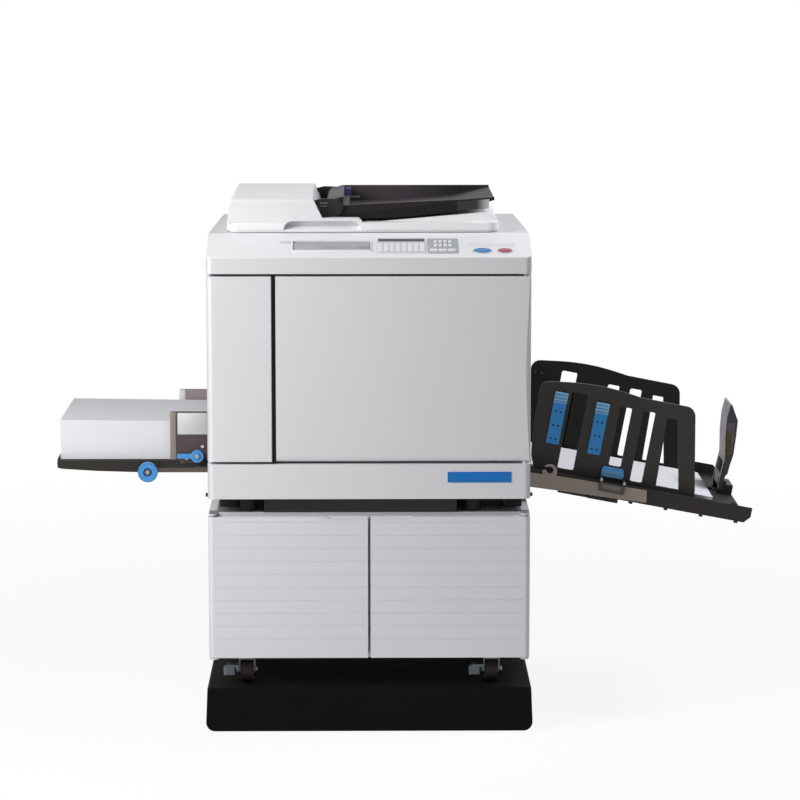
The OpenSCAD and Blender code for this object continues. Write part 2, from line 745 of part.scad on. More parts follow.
// Black document tray: hub about the pivot, high rear rim, front rim that rises outward, dished floor and an
// underside that rises outward
module document_tray() {
    y0 = doc_y() - doc_w / 2;
    y1 = doc_y() + doc_w / 2;
    rim = 8;
    top = doc_pin_z + 21;
    x1 = doc_pin_x + doc_l;
    belly = doc_pin_z - 24;
    knee = doc_l * 0.4;
    tail = doc_l * 0.75;
    color("#2a282b") difference() {
        union() {
            rod_along_y(doc_pin_x, doc_pin_z, doc_hub_r, y0, y1);
            along_y(y0, y1) polygon([[doc_pin_x - 4, doc_pin_z - doc_hub_r + 0.5], [doc_pin_x + 40, belly],
                [doc_pin_x + knee, belly + 3], [doc_pin_x + tail, belly + 14], [x1, top - 7], [x1, top],
                [doc_pin_x + 14, top], [doc_pin_x, doc_pin_z + doc_hub_r]]);
        }
        along_y(y0 - 1, y1 - rim) polygon([[doc_pin_x + 18, top + 1], [doc_pin_x + 18, doc_pin_z + 4],
            [doc_pin_x + 52, doc_pin_z + 6], [doc_pin_x + doc_l * 0.8, doc_pin_z + 15], [x1 + 1, top - 1],
            [x1 + 1, top + 1]]);
        along_y(y0 + rim, y1 - rim) polygon([[doc_pin_x + 26, top + 1], [doc_pin_x + 30, belly + 12],
            [doc_pin_x + knee, belly + 14], [doc_pin_x + tail, belly + 24], [x1 + 1, top - 3], [x1 + 1, top + 1]]);
        for (s = [-1, 1]) {
            y = doc_y() + s * doc_w / 2;
            rod_along_y(doc_pin_x, doc_pin_z, lid_pin_d / 2 + run_gap, y - 24, y + 24);
        }
    }
}

// ---------------------------------------------------------------- paper feed tray

module guide_rods() {
    color("#b9bcc0") for (s = [-1, 1]) translate([rod_x, paper_y + s * rod_y, throat_z0])
        cylinder(d = rod_d, h = throat_z1 - throat_z0);
}

// Steel carriage under the tray: it climbs the guide rods and carries the position dial's shaft
module feed_carriage() {
    half = feed_half - 23;
    color(brown_steel) difference() {
        union() {
            block([dial_x - 12, paper_y - half, carriage_z0], [rod_x + 13, paper_y + half, carriage_z1]);
            block([rod_x - 15, paper_y - rod_y - 15, carriage_z0], [rod_x + 13, paper_y + rod_y + 15, carriage_z1]);
        }
        for (s = [-1, 1]) translate([rod_x, paper_y + s * rod_y, carriage_z0 - 1])
            cylinder(r = rod_d / 2 + run_gap, h = carriage_t + 2);
        rod_along_y(dial_x, dial_z, 3 + run_gap, paper_y - half - 1, paper_y - half + 30);
    }
}

// Dial with a scalloped grip, a dark ring recess and a shaft into the carriage
module position_dial() {
    y0 = paper_y - dial_front - 12;
    color(blue_plastic) {
        difference() {
            rod_along_y(dial_x, dial_z, dial_d / 2, y0, y0 + 12);
            rod_along_y(dial_x, dial_z, 9, y0 - 1, y0 + 3);
        }
        rod_along_y(dial_x, dial_z, 4, y0, y0 + 4);
        rod_along_y(dial_x, dial_z, 3, y0 + 10, paper_y - feed_half + 35);
    }
}

// Feed tray: wide outside the machine with its inner lower corner cut off, narrow inside the throat, a low lip
// at its outer end, a belly outside the carriage, and a cross groove for the fences
module feed_tray() {
    bottom = feed_top - feed_t;
    nose_r = 7;
    lip_h = 4;
    belly_x1 = dial_x - 12 - swing_gap;
    wide_x1 = -side_x - 13;
    color(tray_grey) difference() {
        union() {
            along_y(paper_y - feed_half, paper_y + feed_half) {
                polygon([[feed_tray_x0 + nose_r, feed_top], [feed_tray_x0, feed_top - nose_r],
                    [feed_tray_x0 + 1, bottom], [feed_tray_x0 + 12, bottom - 2],
                    [feed_tray_x0 + 80, bottom - feed_belly * 0.7], [belly_x1 - 1, bottom - feed_belly],
                    [belly_x1, bottom], [wide_x1 - 24, bottom], [wide_x1, feed_top - 6], [wide_x1, feed_top]]);
                translate([feed_tray_x0 + nose_r, feed_top - nose_r]) circle(nose_r);
                polygon([[feed_tray_x0, feed_top - nose_r], [feed_tray_x0 + 1, feed_top + lip_h],
                    [feed_tray_x0 + 4, feed_top + lip_h], [feed_tray_x0 + 5, feed_top - 1]]);
            }
            block([belly_x1 - 40, paper_y - feed_half + 13, bottom], [throat_x - 11, paper_y + feed_half - 13,
                feed_top]);
        }
        block([feed_fence_x - 20, paper_y - feed_half - 1, groove_z], [feed_fence_x + 20, paper_y + feed_half + 1,
            feed_top + 1]);
    }
}

// Paper stack, its outer end a little higher where the sheets curl
module paper_stack() {
    x1 = stack_x0 + paper_l;
    top = feed_top + stack_h;
    color(paper_white) along_y(paper_y - paper_w / 2, paper_y + paper_w / 2) polygon([[stack_x0, feed_top],
        [x1, feed_top], [x1, top - stack_fall], [stack_x0 + paper_l / 2, top - stack_fall * 0.6], [stack_x0, top]]);
}

// Side fence, s = -1 front or 1 rear: upright plate with a foot that slides in the tray's groove
module feed_fence(s) {
    y = paper_y + s * (feed_fence_y + feed_fence_t / 2);
    x0 = feed_fence_x - feed_fence_l / 2;
    foot_l = 50 + feed_fence_out;
    foot_y = y - s * foot_l / 2;
    color("#504142") difference() {
        union() {
            along_y(y - feed_fence_t / 2, y + feed_fence_t / 2)
                round_rect(x0, feed_top + run_gap, x0 + feed_fence_l, feed_top + feed_fence_h, 3);
            block([feed_fence_x - 20 + run_gap, foot_y - foot_l / 2, groove_z + run_gap],
                [feed_fence_x + 20 - run_gap, foot_y + foot_l / 2, feed_top - run_gap]);
            block([feed_fence_x - 20 + run_gap, y - feed_fence_t / 2, groove_z + run_gap],
                [feed_fence_x + 20 - run_gap, y + feed_fence_t / 2, feed_top + 5]);
        }
        if (s < 0) rod_along_y(knob_x, knob_z, 3 + run_gap, y - 20, y + 20);
    }
}

module feed_fence_front() {
    feed_fence(-1);
}

module feed_fence_rear() {
    feed_fence(1);
}

// Lock lever of the fences: round knob with a flat arm, turning on a shaft in the front fence
module lock_lever() {
    y1 = paper_y - feed_half - swing_gap;
    color(blue_plastic) {
        rod_along_y(knob_x, knob_z, knob_d / 2, y1 - 10, y1);
        along_y(y1 - 8, y1 - 2) round_rect(knob_x - knob_d / 2 - 28, knob_z - 4.5, knob_x, knob_z + 4.5, 3);
        rod_along_y(knob_x, knob_z, 3, y1 - 1, paper_y - feed_fence_y - 1);
    }
}

// ---------------------------------------------------------------- receiving tray

// Places children in the tilted frame of the receiving tray
module on_slope() {
    translate([side_x, paper_y, tray_z]) rotate([0, slope, 0]) children();
}

// Tray with a flat floor, rims on three sides, lugs and a cover plate below, and the stopper's groove
module receiving_tray() {
    rim_v = 5;
    rim_low = rim_v - tray_rim_h;
    lug_step = 72;
    plate_u = [70, 192];
    color("#3a3839") on_slope() difference() {
        union() {
            block([4, -tray_half, -tray_floor_t], [floor_u1, tray_half, 0]);
            for (s = [-1, 1]) along_y(s * (tray_half - tray_rim_t / 2) - tray_rim_t / 2,
                s * (tray_half - tray_rim_t / 2) + tray_rim_t / 2) {
                u1 = s < 0 ? tray_l : rear_rail_u1;
                polygon([[8, rim_v], [u1, rim_v], [u1, -tray_floor_t], [u1 - 12, rim_low],
                    [plate_u[0] + 50, rim_low], [8, -tray_floor_t - 4]]);
                for (u = [214 : lug_step : u1 - 14]) translate([u, rim_low - 4]) square([8, 6]);
            }
            along_y(tray_half - tray_rim_t, tray_half) polygon([[fence_u0 + fence_l + 14, 0],
                [fence_u0 + fence_l + 14, rear_rim_h - 6], [fence_u0 + fence_l + 20, rear_rim_h],
                [rear_rail_u1 - 26, rear_rim_h], [rear_rail_u1 - 6, rim_v]]);
            block([plate_u[0], -tray_half + tray_rim_t, rim_low - 8], [plate_u[1], tray_half - tray_rim_t, rim_low + 1]);
            for (s = [-1, 1]) block([plate_u[0] + 60, s * (tray_half - 5) - 5, rim_low - 8],
                [plate_u[1], s * (tray_half - 5) + 5, -tray_floor_t + 1]);
        }
        block([stopper_u - 40, -15, -8], [groove_u1, 15, 1]);
    }
}

// Brown steel arms that hang the tray on the machine, with the curl at their inner end
module tray_arms() {
    plate_t = 3;
    fall = arm_l * tan(slope);
    curl_x = side_x + 46;
    curl_z = tray_z - 4;
    color(brown_steel) for (s = [-1, 1]) {
        y = paper_y + s * (tray_half + plate_t / 2);
        along_y(y - plate_t / 2, y + plate_t / 2) difference() {
            union() {
                polygon([[side_x, tray_z - 5], [curl_x + 15, tray_z - 13], [side_x + arm_l, tray_z + 2 - fall],
                    [side_x + arm_l, tray_z + 2 - fall - arm_h], [side_x, tray_z - 34]]);
                translate([curl_x, curl_z]) circle(15);
            }
            translate([curl_x, curl_z + 3]) circle(7);
            translate([curl_x - 17, curl_z + 4]) square([17, 6]);
        }
    }
}

module delivered_sheets() {
    color(paper_white) on_slope() block([sheets_u1 - paper_l, -paper_w / 2, 0], [sheets_u1, paper_w / 2, sheets_h]);
}

// Points of an arc about (x, y), from angle a0 to a1
function arc(x, y, r, a0, a1, steps = 8) =
    [for (i = [0 : steps]) let (a = a0 + (a1 - a0) * i / steps) [x + r * cos(a), y + r * sin(a)]];

// Outline of a receiving fence as (u, v): its ends stand nearly upright in the world, so they lean on the tray,
// and its upper edge is crowned over the inner two thirds
module fence_outline() {
    left_u = fence_u0 - fence_h * fence_left_lean;
    right_u = fence_u0 + fence_l - fence_h * tan(slope);
    run = right_u - left_u - 2 * fence_r;
    crown = [for (i = [1 : 12]) let (t = i / 18)
        [left_u + fence_r + t * run, fence_h + fence_crown * sin(180 * min(1, t * 1.45))]];
    polygon(concat([[fence_u0, run_gap], [fence_u0 - 10, 24], [fence_u0 - 19, 90]],
        arc(left_u + fence_r, fence_h - fence_r, fence_r, 180, 95),
        crown,
        arc(right_u - fence_r + 3, fence_h - fence_r, fence_r, 88, 12),
        [[fence_u0 + fence_l, run_gap]]));
}

// The four slots of a fence: three parallel ones and a wider one that follows the leaning end
module fence_slots() {
    round_rect(fence_u0 + 46, 10, fence_u0 + 79, 167, 4);
    round_rect(fence_u0 + 147, 34, fence_u0 + 172, 156, 4);
    round_rect(fence_u0 + 195, 10, fence_u0 + 220, 156, 4);
    polygon([[fence_u0 + 249, 10], [fence_u0 + 245, 150], [fence_u0 + 267, 150], [fence_u0 + 296, 10]]);
}

// Receiving fence, s = -1 front or 1 rear: slotted plate with a sliding foot
module receiving_fence(s) {
    y = s * (fence_in + fence_t / 2);
    color("#33302f") on_slope() along_y(y - fence_t / 2, y + fence_t / 2) difference() {
        fence_outline();
        fence_slots();
    }
}

module receiving_fence_front() {
    receiving_fence(-1);
}

module receiving_fence_rear() {
    receiving_fence(1);
}

// Blue paper arrangers of one fence: flat bars with a raised cap and pairs of small holes
module arrangers(s) {
    y = s * (fence_in + fence_t);
    proud = 4;
    hole_r = 2;
    color(blue_plastic) on_slope() for (u = [fence_u0 + 26, fence_u0 + 112]) {
        v1 = u > fence_u0 + 60 ? 157 : 163;
        along_y(min(y, y + s * proud), max(y, y + s * proud)) difference() {
            round_rect(u - arranger_w / 2, v1 - arranger_l, u + arranger_w / 2, v1, 2);
            for (k = [0 : 2], d = [-5, 5]) translate([u + d, v1 - arranger_l + 10 + k * 28]) circle(hole_r);
        }
    }
}

module arrangers_front() {
    arrangers(-1);
}

module arrangers_rear() {
    arrangers(1);
}

// Blue pinch handle on its dark bracket, at the foot of the front fence
module fence_handle() {
    y1 = -fence_in - fence_t;
    u = fence_u0 + 157;
    color(blue_plastic) on_slope() {
        along_y(y1 - 12, y1) round_rect(u - 23, 12, u + 23, 26, 5);
        along_y(y1 - 6, y1) round_rect(u - 21, 11, u + 21, 31, 2);
    }
}

// Slider of the end stopper: tongue in the tray's groove, block and two ears with the pivot pin
module stopper_base() {
    ear = 8;
    v = stopper_pin_v;
    color("#1f1e22") on_slope() {
        block([stopper_u - 2, -15 + run_gap, -8 + run_gap], [stopper_u + slider_l, 15 - run_gap, 1]);
        block([stopper_u + 22, -40, run_gap], [stopper_u + slider_l, 40, 20]);
        for (s = [-1, 1]) along_y(s * 36 - ear / 2, s * 36 + ear / 2) {
            translate([stopper_u + 11, v]) circle(8);
            polygon([[stopper_u + 3, run_gap], [stopper_u + 3, v], [stopper_u + 19, v], [stopper_u + 24, 19],
                [stopper_u + 24, run_gap]]);
        }
        rod_along_y(stopper_u + 11, v, 3, -36, 36);
    }
}

// End stopper: a bent face plate on two legs, two side ribs with a bulge, and a knuckle about the pivot
module stopper_plate() {
    v = stopper_pin_v;
    half = stopper_w / 2;
    leg_v = v - 11;
    u0 = stopper_u;
    lean = stopper_lean;
    face = [[u0 + 2, v + 12], [u0 + 4, stopper_h - 110], [u0 + 6 - lean, stopper_h - 66],
        [u0 + 2 - lean, stopper_h - 28], [u0 + 4 - lean, stopper_h]];
    back = [for (i = [4 : -1 : 0]) [face[i][0] + stopper_t, face[i][1]]];
    color("#8f8d90") on_slope() difference() {
        union() {
            along_y(-half, half) polygon(concat(face, back));
            block([u0 + 2, -30, v], [u0 + 2 + stopper_t, 30, v + 13]);
            rod_along_y(u0 + 11, v, 9, -30, 30);
            for (s = [-1, 1]) {
                block([u0 + 2, s * (half + 42) / 2 - (half - 42) / 2, leg_v], [u0 + 2 + stopper_t,
                    s * (half + 42) / 2 + (half - 42) / 2, v + 13]);
                along_y(s * (half - 2) - 2, s * (half - 2) + 2) polygon(concat([[u0 + 2, leg_v]], face,
                    [[u0 + 8 - lean, stopper_h - 1], [u0 + 15, stopper_h - 30], [u0 + 18, stopper_h - 63],
                    [u0 + 20, stopper_h - 101], [u0 + 17, v + 42], [u0 + 16, v + 24], [u0 + 12, v + 18],
                    [u0 + 11, leg_v]]));
            }
        }
        rod_along_y(u0 + 11, v, 3 + run_gap, -31, 31);
        block([u0 - 1, -half + 12, v + 18], [u0 + stopper_t + 6, -half + 20, v + 40]);
    }
}

plinth();
caster_forks();
caster_wheels();
cabinet_floor();
cabinet_shell();
cabinet_top();
cabinet_door_left();
cabinet_door_right();
base_beams();
machine_feet();
machine_base();
base_fascia();
body_core();
left_side_cover();
right_side_cover();
back_cover();
left_front_cover();
front_door();
top_strip();
control_panel();
scanner_deck();
stage_glass();
print_drum();
scanner_lid();
feeder_housing();
tray_cheeks();
document_tray();
guide_rods();
feed_carriage();
position_dial();
feed_tray();
paper_stack();
feed_fence_front();
feed_fence_rear();
lock_lever();
receiving_tray();
tray_arms();
delivered_sheets();
receiving_fence_front();
receiving_fence_rear();
arrangers_front();
arrangers_rear();
fence_handle();
stopper_base();
stopper_plate();
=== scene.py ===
import bpy
import bmesh
from math import atan2, pi, radians
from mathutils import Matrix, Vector


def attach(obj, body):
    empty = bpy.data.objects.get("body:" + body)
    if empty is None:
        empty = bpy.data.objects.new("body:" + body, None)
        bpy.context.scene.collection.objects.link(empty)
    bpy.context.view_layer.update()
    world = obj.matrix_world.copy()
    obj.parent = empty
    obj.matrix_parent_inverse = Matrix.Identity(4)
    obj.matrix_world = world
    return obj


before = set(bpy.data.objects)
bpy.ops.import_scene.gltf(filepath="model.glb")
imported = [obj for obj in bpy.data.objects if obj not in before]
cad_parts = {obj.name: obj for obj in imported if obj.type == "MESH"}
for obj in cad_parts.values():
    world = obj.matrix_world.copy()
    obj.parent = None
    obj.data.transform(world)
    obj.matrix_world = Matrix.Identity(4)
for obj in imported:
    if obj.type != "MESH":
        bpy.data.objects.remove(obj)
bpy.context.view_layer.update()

# ------------------------------------------------------------------ plinth
# A black box that the whole stand rests on, its long lower corners rounded. Its matt black is
# painted
# shadow: the box stands where the stand's shadow lies on the floor. It is slightly dusty, with a
# fine grain.


def linear(colour):
    """An sRGB hex colour as the linear values that a shader takes."""
    parts = [int(colour[i:i + 2], 16) / 255 for i in (1, 3, 5)]
    return [c / 12.92 if c <= 0.04045 else ((c + 0.055) / 1.055) ** 2.4 for c in parts] + [1.0]


def add(material, kind, settings=None, inputs=None):
    """Adds one node. An input takes a plain value or the output that feeds it."""
    new = material.node_tree.nodes.new("ShaderNode" + kind)
    for name, value in (settings or {}).items():
        setattr(new, name, value)
    for name, value in (inputs or {}).items():
        if isinstance(value, bpy.types.NodeSocket):
            material.node_tree.links.new(value, new.inputs[name])
        else:
            new.inputs[name].default_value = value
    return new


def finish_coat(name, pale, deep, roughness, grain_mm, grain_depth_mm, shader=None, drift_mm=180.0):
    """A surface with a slow drift between two close tones, a fine grain, and wear in its gloss.

    A grain depth of 0 leaves it smooth, and its gloss even."""
    material = bpy.data.materials.new(name)
    material.use_nodes = True
    place = add(material, "TexCoord").outputs["Object"]
    drift = add(material, "TexNoise", inputs={
        "Vector": place, "Scale": 1000 / drift_mm, "Detail": 3.0})
    tone = add(material, "Mix", {"data_type": "RGBA"}, {
        "Factor": drift.outputs["Fac"], 6: linear(deep), 7: linear(pale)})
    coat = material.node_tree.nodes["Principled BSDF"]
    for socket, value in (shader or {}).items():
        coat.inputs[socket].default_value = value
    material.node_tree.links.new(tone.outputs[2], coat.inputs["Base Color"])
    coat.inputs["Roughness"].default_value = roughness
    if grain_depth_mm == 0:
        return material
    grain = add(material, "TexNoise", inputs={
        "Vector": place, "Scale": 1000 / grain_mm, "Detail": 2.0})
    # hands and cloths polish the gloss in patches of about 45 mm
    patch_mm, polished, dulled = 45, 0.05, 0.06
    handled = add(material, "TexNoise", inputs={
        "Vector": place, "Scale": 1000 / patch_mm, "Detail": 5.0, "Roughness": 0.65})
    gloss = add(material, "MapRange", inputs={
        "Value": handled.outputs["Fac"], "From Min": 0.3, "From Max": 0.7,
        "To Min": roughness - polished, "To Max": roughness + dulled})
    bump = add(material, "Bump", inputs={
        "Height": grain.outputs["Fac"], "Strength": 1.0, "Distance": grain_depth_mm / 1000})
    material.node_tree.links.new(gloss.outputs["Result"], coat.inputs["Roughness"])
    material.node_tree.links.new(bump.outputs["Normal"], coat.inputs["Normal"])
    return material


def dress(name, material, edge_mm):
    """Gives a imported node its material, and breaks its sharp edges as the mould or the paint does.

    Its corners are joined and its flat faces made whole first, so that only real edges break."""
    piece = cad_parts[name]
    piece.data.materials.clear()
    piece.data.materials.append(material)
    weld = piece.modifiers.new("weld", "WELD")
    weld.merge_threshold = 0.00002
    flat = piece.modifiers.new("flat", "DECIMATE")
    flat.decimate_type = "DISSOLVE"
    flat.angle_limit = radians(0.6)
    edge = piece.modifiers.new("edge", "BEVEL")
    edge.width = edge_mm / 1000
    edge.segments = 2
    edge.limit_method = "ANGLE"
    edge.angle_limit = radians(32)
    smooth = piece.modifiers.new("smooth", "WEIGHTED_NORMAL")
    smooth.keep_sharp = True
    smooth.weight = 80


# Painted shadow: matt black, deep and even, with dust that greys it a little.
painted_shadow_black = finish_coat("painted_shadow_plinth", "#090906", "#060604", 0.7, 3.0, 0.05,
                          {"Specular IOR Level": 0.08})
dress("plinth", painted_shadow_black, 3.0)

# ------------------------------------------------------------------ casters
# Four braked twin-plate casters: pressed and zinc-plated forks under a bolt plate, and moulded
# brown rubber treads on plastic hubs. All stand parked, with the brake pedals to the front.


def begin(name, kind, scale=(1, 1, 1), **where):
    """Adds a primitive at its size and place, and opens it for shaping."""
    bpy.ops.object.select_all(action="DESELECT")
    getattr(bpy.ops.mesh, "primitive_%s_add" % kind)(**where)
    piece = bpy.context.object
    piece.name = piece.data.name = name
    piece.scale = scale
    bpy.ops.object.transform_apply(location=True, rotation=True, scale=True)
    bpy.ops.object.mode_set(mode="EDIT")
    return piece


def pick(piece, test, what="FACE"):
    """Selects the faces, or the edges, whose middle and direction pass the test."""
    bpy.ops.mesh.select_mode(type=what)
    bpy.ops.mesh.select_all(action="DESELECT")
    shape = bmesh.from_edit_mesh(piece.data)
    if what == "FACE":
        chosen = [f for f in shape.faces if test(f.calc_center_median(), f.normal)]
    else:
        ends = [(e, e.verts[0].co, e.verts[1].co) for e in shape.edges]
        chosen = [e for e, a, b in ends if test((a + b) / 2, (b - a).normalized())]
    for part in chosen:
        part.select_set(True)
    bmesh.update_edit_mesh(piece.data)


def complete(piece, material, body, slot, turn=(0, 0, 0), place=(0, 0, 0), smooth=35):
    """Closes a piece, sets it in its place, and gives it its finish and the body it rides on."""
    bpy.ops.object.mode_set(mode="OBJECT")
    piece.rotation_euler = turn
    piece.location = place
    bpy.ops.object.transform_apply(location=True, rotation=True, scale=True)
    bpy.ops.object.shade_smooth_by_angle(angle=radians(smooth))
    piece.data.materials.append(material)
    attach(piece, body)


def slab(name, low, high, round_mm, edge_mm, facing="z"):
    """A plate between two corners, rounded in its face's outline, its edges broken, left open."""
    along = "xyz".index(facing)
    piece = begin(name, "cube", size=1, location=[(a + b) / 2 for a, b in zip(low, high)],
                  scale=[b - a for a, b in zip(low, high)])
    pick(piece, lambda c, d: abs(d[along]) > 0.9, "EDGE")
    bpy.ops.mesh.bevel(offset=round_mm / 1000, segments=5, affect="EDGES")
    pick(piece, lambda c, d: abs(d[along]) < 0.1, "EDGE")
    bpy.ops.mesh.bevel(offset=edge_mm / 1000, segments=2, affect="EDGES")
    return piece


def button(name, wide, deep, rise, rings=((0.0006, 0.0004), (0.0012, 0.0002)), vertices=40):
    """A disc that faces z, drawn up into a wall and closed by rings inset and lifted, left open."""
    piece = begin(name, "circle", vertices=vertices, radius=0.5, fill_type="NGON",
                  scale=(wide, deep, 1))
    bpy.ops.mesh.select_all(action="SELECT")
    bpy.ops.mesh.extrude_region_move(TRANSFORM_OT_translate={"value": (0, 0, rise)})
    for inset, lift in rings:
        bpy.ops.mesh.inset(thickness=inset)
        bpy.ops.transform.translate(value=(0, 0, lift))
    bpy.ops.mesh.select_all(action="SELECT")
    bpy.ops.mesh.normals_make_consistent(inside=False)
    return piece


# Bright zinc plate: a bluish grey metal with faint spangle and a dull film.
zinc_plate = finish_coat("zinc_plated_steel", "#b4bac0", "#9aa1a8", 0.38, 5.0, 0.02,
                         {"Metallic": 1.0})
# Moulded rubber: near black with a brown cast, matt, with a bloom that pales it in patches.
caster_rubber = finish_coat("moulded_rubber", "#3a302c", "#2a221f", 0.66, 1.6, 0.08,
                            {"Specular IOR Level": 0.3}, 30.0)
# Painted shade: the forks' zinc is set a dull dark grey, darker than the nuts' plate, for the shade
# under the cabinet.
zinc_painted_shade = finish_coat("zinc_plate_painted_shade", "#63686a", "#525658", 0.42, 4.0, 0.02,
                         {"Metallic": 1.0}, 25.0)
# Glass-filled nylon of the hubs and the pedals' pads: slate grey, matt.
slate_nylon = finish_coat("slate_nylon", "#7d858c", "#71797f", 0.55, 1.0, 0.04,
                          {"Specular IOR Level": 0.35}, 40.0)
dress("caster_forks", zinc_painted_shade, 0.5)
dress("caster_wheels", caster_rubber, 1.5)
CASTERS = [(x, y) for x in (-0.244, 0.244) for y in (-0.256, 0.256)]
axle_z, wheel_side, fork_side = 0.111, 0.0125, 0.0166
for number, (x, y) in enumerate(CASTERS, 1):
    # a hub on each side of the wheel, and a hexagon nut on each end of its axle
    for hand, side in (("l", -1), ("r", 1)):
        outward = (0, side * pi / 2, 0)
        piece = button("hub_%d%s" % (number, hand), 0.034, 0.034, 0.0006,
                       ((0.002, 0.0), (0.0015, -0.0004), (0.003, 0.0)))
        complete(piece, slate_nylon, "machine", "grey_plastic", outward,
                 (x + side * wheel_side, y, axle_z))
        piece = button("axle_nut_%d%s" % (number, hand), 0.013, 0.013, 0.0035,
                       ((0.0010, 0.0008), (0.0016, 0.0)), 6)
        complete(piece, zinc_plate, "machine", "steel", outward,
                 (x + side * fork_side, y, axle_z))
    # a pad moulded over the brake pedal's end
    piece = slab("brake_pad_%d" % number, (x - 0.0460, y - 0.0290, 0.1060),
                 (x - 0.0240, y - 0.0130, 0.1235), 2.5, 1.2)
    complete(piece, slate_nylon, "machine", "grey_plastic")

# ------------------------------------------------------------------ cabinet
# Folded sheet steel, powder coated in a light cool grey: shell, floor, top and two doors with
# fine grooves pressed across them. Their pivots are pins in tabs at the floor and the top.


def shaded(material, mask, dark):
    """Mixes a second colour into a finish where the mask is 1."""
    coat = material.node_tree.nodes["Principled BSDF"]
    tone = add(material, "Mix", {"data_type": "RGBA"}, {
        "Factor": mask, 6: coat.inputs["Base Color"].links[0].from_socket, 7: linear(dark)})
    material.node_tree.links.new(tone.outputs[2], coat.inputs["Base Color"])


def turned(material, axis, low, high):
    """How far a surface faces along an axis, either way: 0 up to low, and 1 from high."""
    facing = add(material, "SeparateXYZ", inputs={
        "Vector": add(material, "TexCoord").outputs["Normal"]})
    share = add(material, "Math", {"operation": "ABSOLUTE"}, {0: facing.outputs[axis]})
    return add(material, "MapRange", inputs={
        "Value": share.outputs[0], "From Min": low, "From Max": high}).outputs[0]


# Powder coat: satin, with orange peel about 2 mm across.
powder_coat = finish_coat("powder_coated_steel", "#dbdce0", "#d6d7db", 0.46, 2.2, 0.05)
# Painted shade: the sides returned from the front, which the light reaches less, are painted greyer.
shaded(powder_coat, turned(powder_coat, "X", 0.3, 0.9), "#bcbcc0")
for name in ("cabinet_floor", "cabinet_shell", "cabinet_door_left", "cabinet_door_right"):
    dress(name, powder_coat, 1.0 if name == "cabinet_shell" else 0.4)
# Painted shade: the top's upper side, which the machine covers, is painted a darker grey for the
# shade under the machine.
top_painted_shade = finish_coat("powder_coat_top_painted_shade", "#d6d7db", "#d1d2d6", 0.5, 2.2, 0.05)
shaded(top_painted_shade, turned(top_painted_shade, "Z", 0.8, 0.82), "#7e7d80")
dress("cabinet_top", top_painted_shade, 1.0)

# ------------------------------------------------------------------ machine stand-offs and base
# Black painted beams and rubber feet carry the machine over the cabinet's top. The base is a dark
# steel tray, hidden in front by a moulded fascia, and the machine's inner core stands in it.

# Black chassis paint: nearly black, half matt, its brown cast seen only where light strikes it.
black_paint = finish_coat("black_chassis_paint", "#2b2825", "#232020", 0.55, 1.2, 0.03,
                          {"Specular IOR Level": 0.3})
# Grey chassis paint: flat and dull, since it shows only through the openings.
dark_steel = finish_coat("grey_painted_chassis", "#5a5a5c", "#505053", 0.55, 1.2, 0.03,
                         {"Specular IOR Level": 0.35})
# Foot rubber: black and matt, with a coarse moulded skin.
foot_rubber = finish_coat("foot_rubber", "#232120", "#1b1a19", 0.7, 1.6, 0.06,
                          {"Specular IOR Level": 0.3})
dress("base_beams", black_paint, 1.5)
dress("machine_feet", foot_rubber, 1.0)
dress("machine_base", dark_steel, 1.0)
dress("body_core", dark_steel, 1.0)

# ------------------------------------------------------------------ housing covers
# Injection-moulded covers in a pale blue-grey white, spark-eroded to a fine satin. They clip and
# screw onto the chassis, each with a shadow gap round it. The back is powder-coated sheet steel.

# Moulded ABS: satin, its spark texture about 0.8 mm across and its colour even.
white_abs = finish_coat("moulded_abs", "#dcdcdf", "#d8d8dc", 0.4, 0.8, 0.02)
# Painted light and shade: the scanner deck is painted a shade greyer, and the panel and feeder
# housing a shade whiter, for how the light falls on them.
grey_white_abs = finish_coat("deck_moulded_abs", "#cfcfd3", "#cbcbcf", 0.42, 0.8, 0.02)
bright_abs = finish_coat("bright_moulded_abs", "#eaeaed", "#e6e6ea", 0.38, 0.8, 0.02)
# Painted shade: the covers' sides, turned left and right from the light, are painted greyer.
shaded(white_abs, turned(white_abs, "X", 0.3, 0.9), "#afafb3")
shaded(bright_abs, turned(bright_abs, "X", 0.3, 0.9), "#c4c4c8")
for name in ("base_fascia", "left_side_cover", "right_side_cover", "left_front_cover",
             "front_door", "top_strip"):
    dress(name, white_abs, 1.2)
dress("scanner_deck", grey_white_abs, 1.2)
dress("control_panel", bright_abs, 1.2)
dress("back_cover", powder_coat, 1.0)
FACE = {"left": (0, -pi / 2, 0), "right": (0, pi / 2, 0), "back": (-pi / 2, 0, 0),
        "front": (pi / 2, 0, 0)}
side_x, back_y = 0.3170, 0.3193


def screw(name, wide, place, body, turn, material=zinc_plate):
    """A pan-head screw, its head stepped in to a shallow dished recess."""
    rings = ((wide * 0.08, wide * 0.06), (wide * 0.14, wide * 0.03), (wide * 0.10, -wide * 0.05))
    piece = button(name, wide, wide, wide * 0.18, rings, 24)
    complete(piece, material, body, "steel", turn, place, 50)


# Pan-head screws hold the side and back covers, near their corners.
COVER_SCREWS = [("left", (-side_x, y, z)) for y in (-0.270, 0.290) for z in (0.490, 0.925)]
COVER_SCREWS += [("right", (side_x, y, z)) for y in (-0.270, 0.290) for z in (0.490, 0.925)]
COVER_SCREWS += [("back", (x, back_y, z)) for x in (-0.295, 0.0, 0.295) for z in (0.485, 0.925)]
for number, (side, place) in enumerate(COVER_SCREWS, 1):
    screw("cover_screw_%d" % number, 0.0085, place, "machine", FACE[side])
# The lower front ends of the base carry a short pin on each side, for the stand's clamps.
pin_wide, pin_long = 0.0075, 0.0055
for side, x in (("left", -side_x), ("right", side_x)):
    piece = button("side_pin_" + side, pin_wide, pin_wide, pin_long, vertices=24)
    complete(piece, black_paint, "machine", "black_plastic", FACE[side], (x, -0.2800, 0.4700))
screw("side_screw", 0.0080, (side_x, -0.2800, 0.5390), "machine", FACE["right"], black_paint)

# ------------------------------------------------------------------ control panel
# Keys, display and key plates set in the sloping panel: moulded keys in grey plates, a start and
# a stop key in translucent plastic. The places of words and marks are left bare.

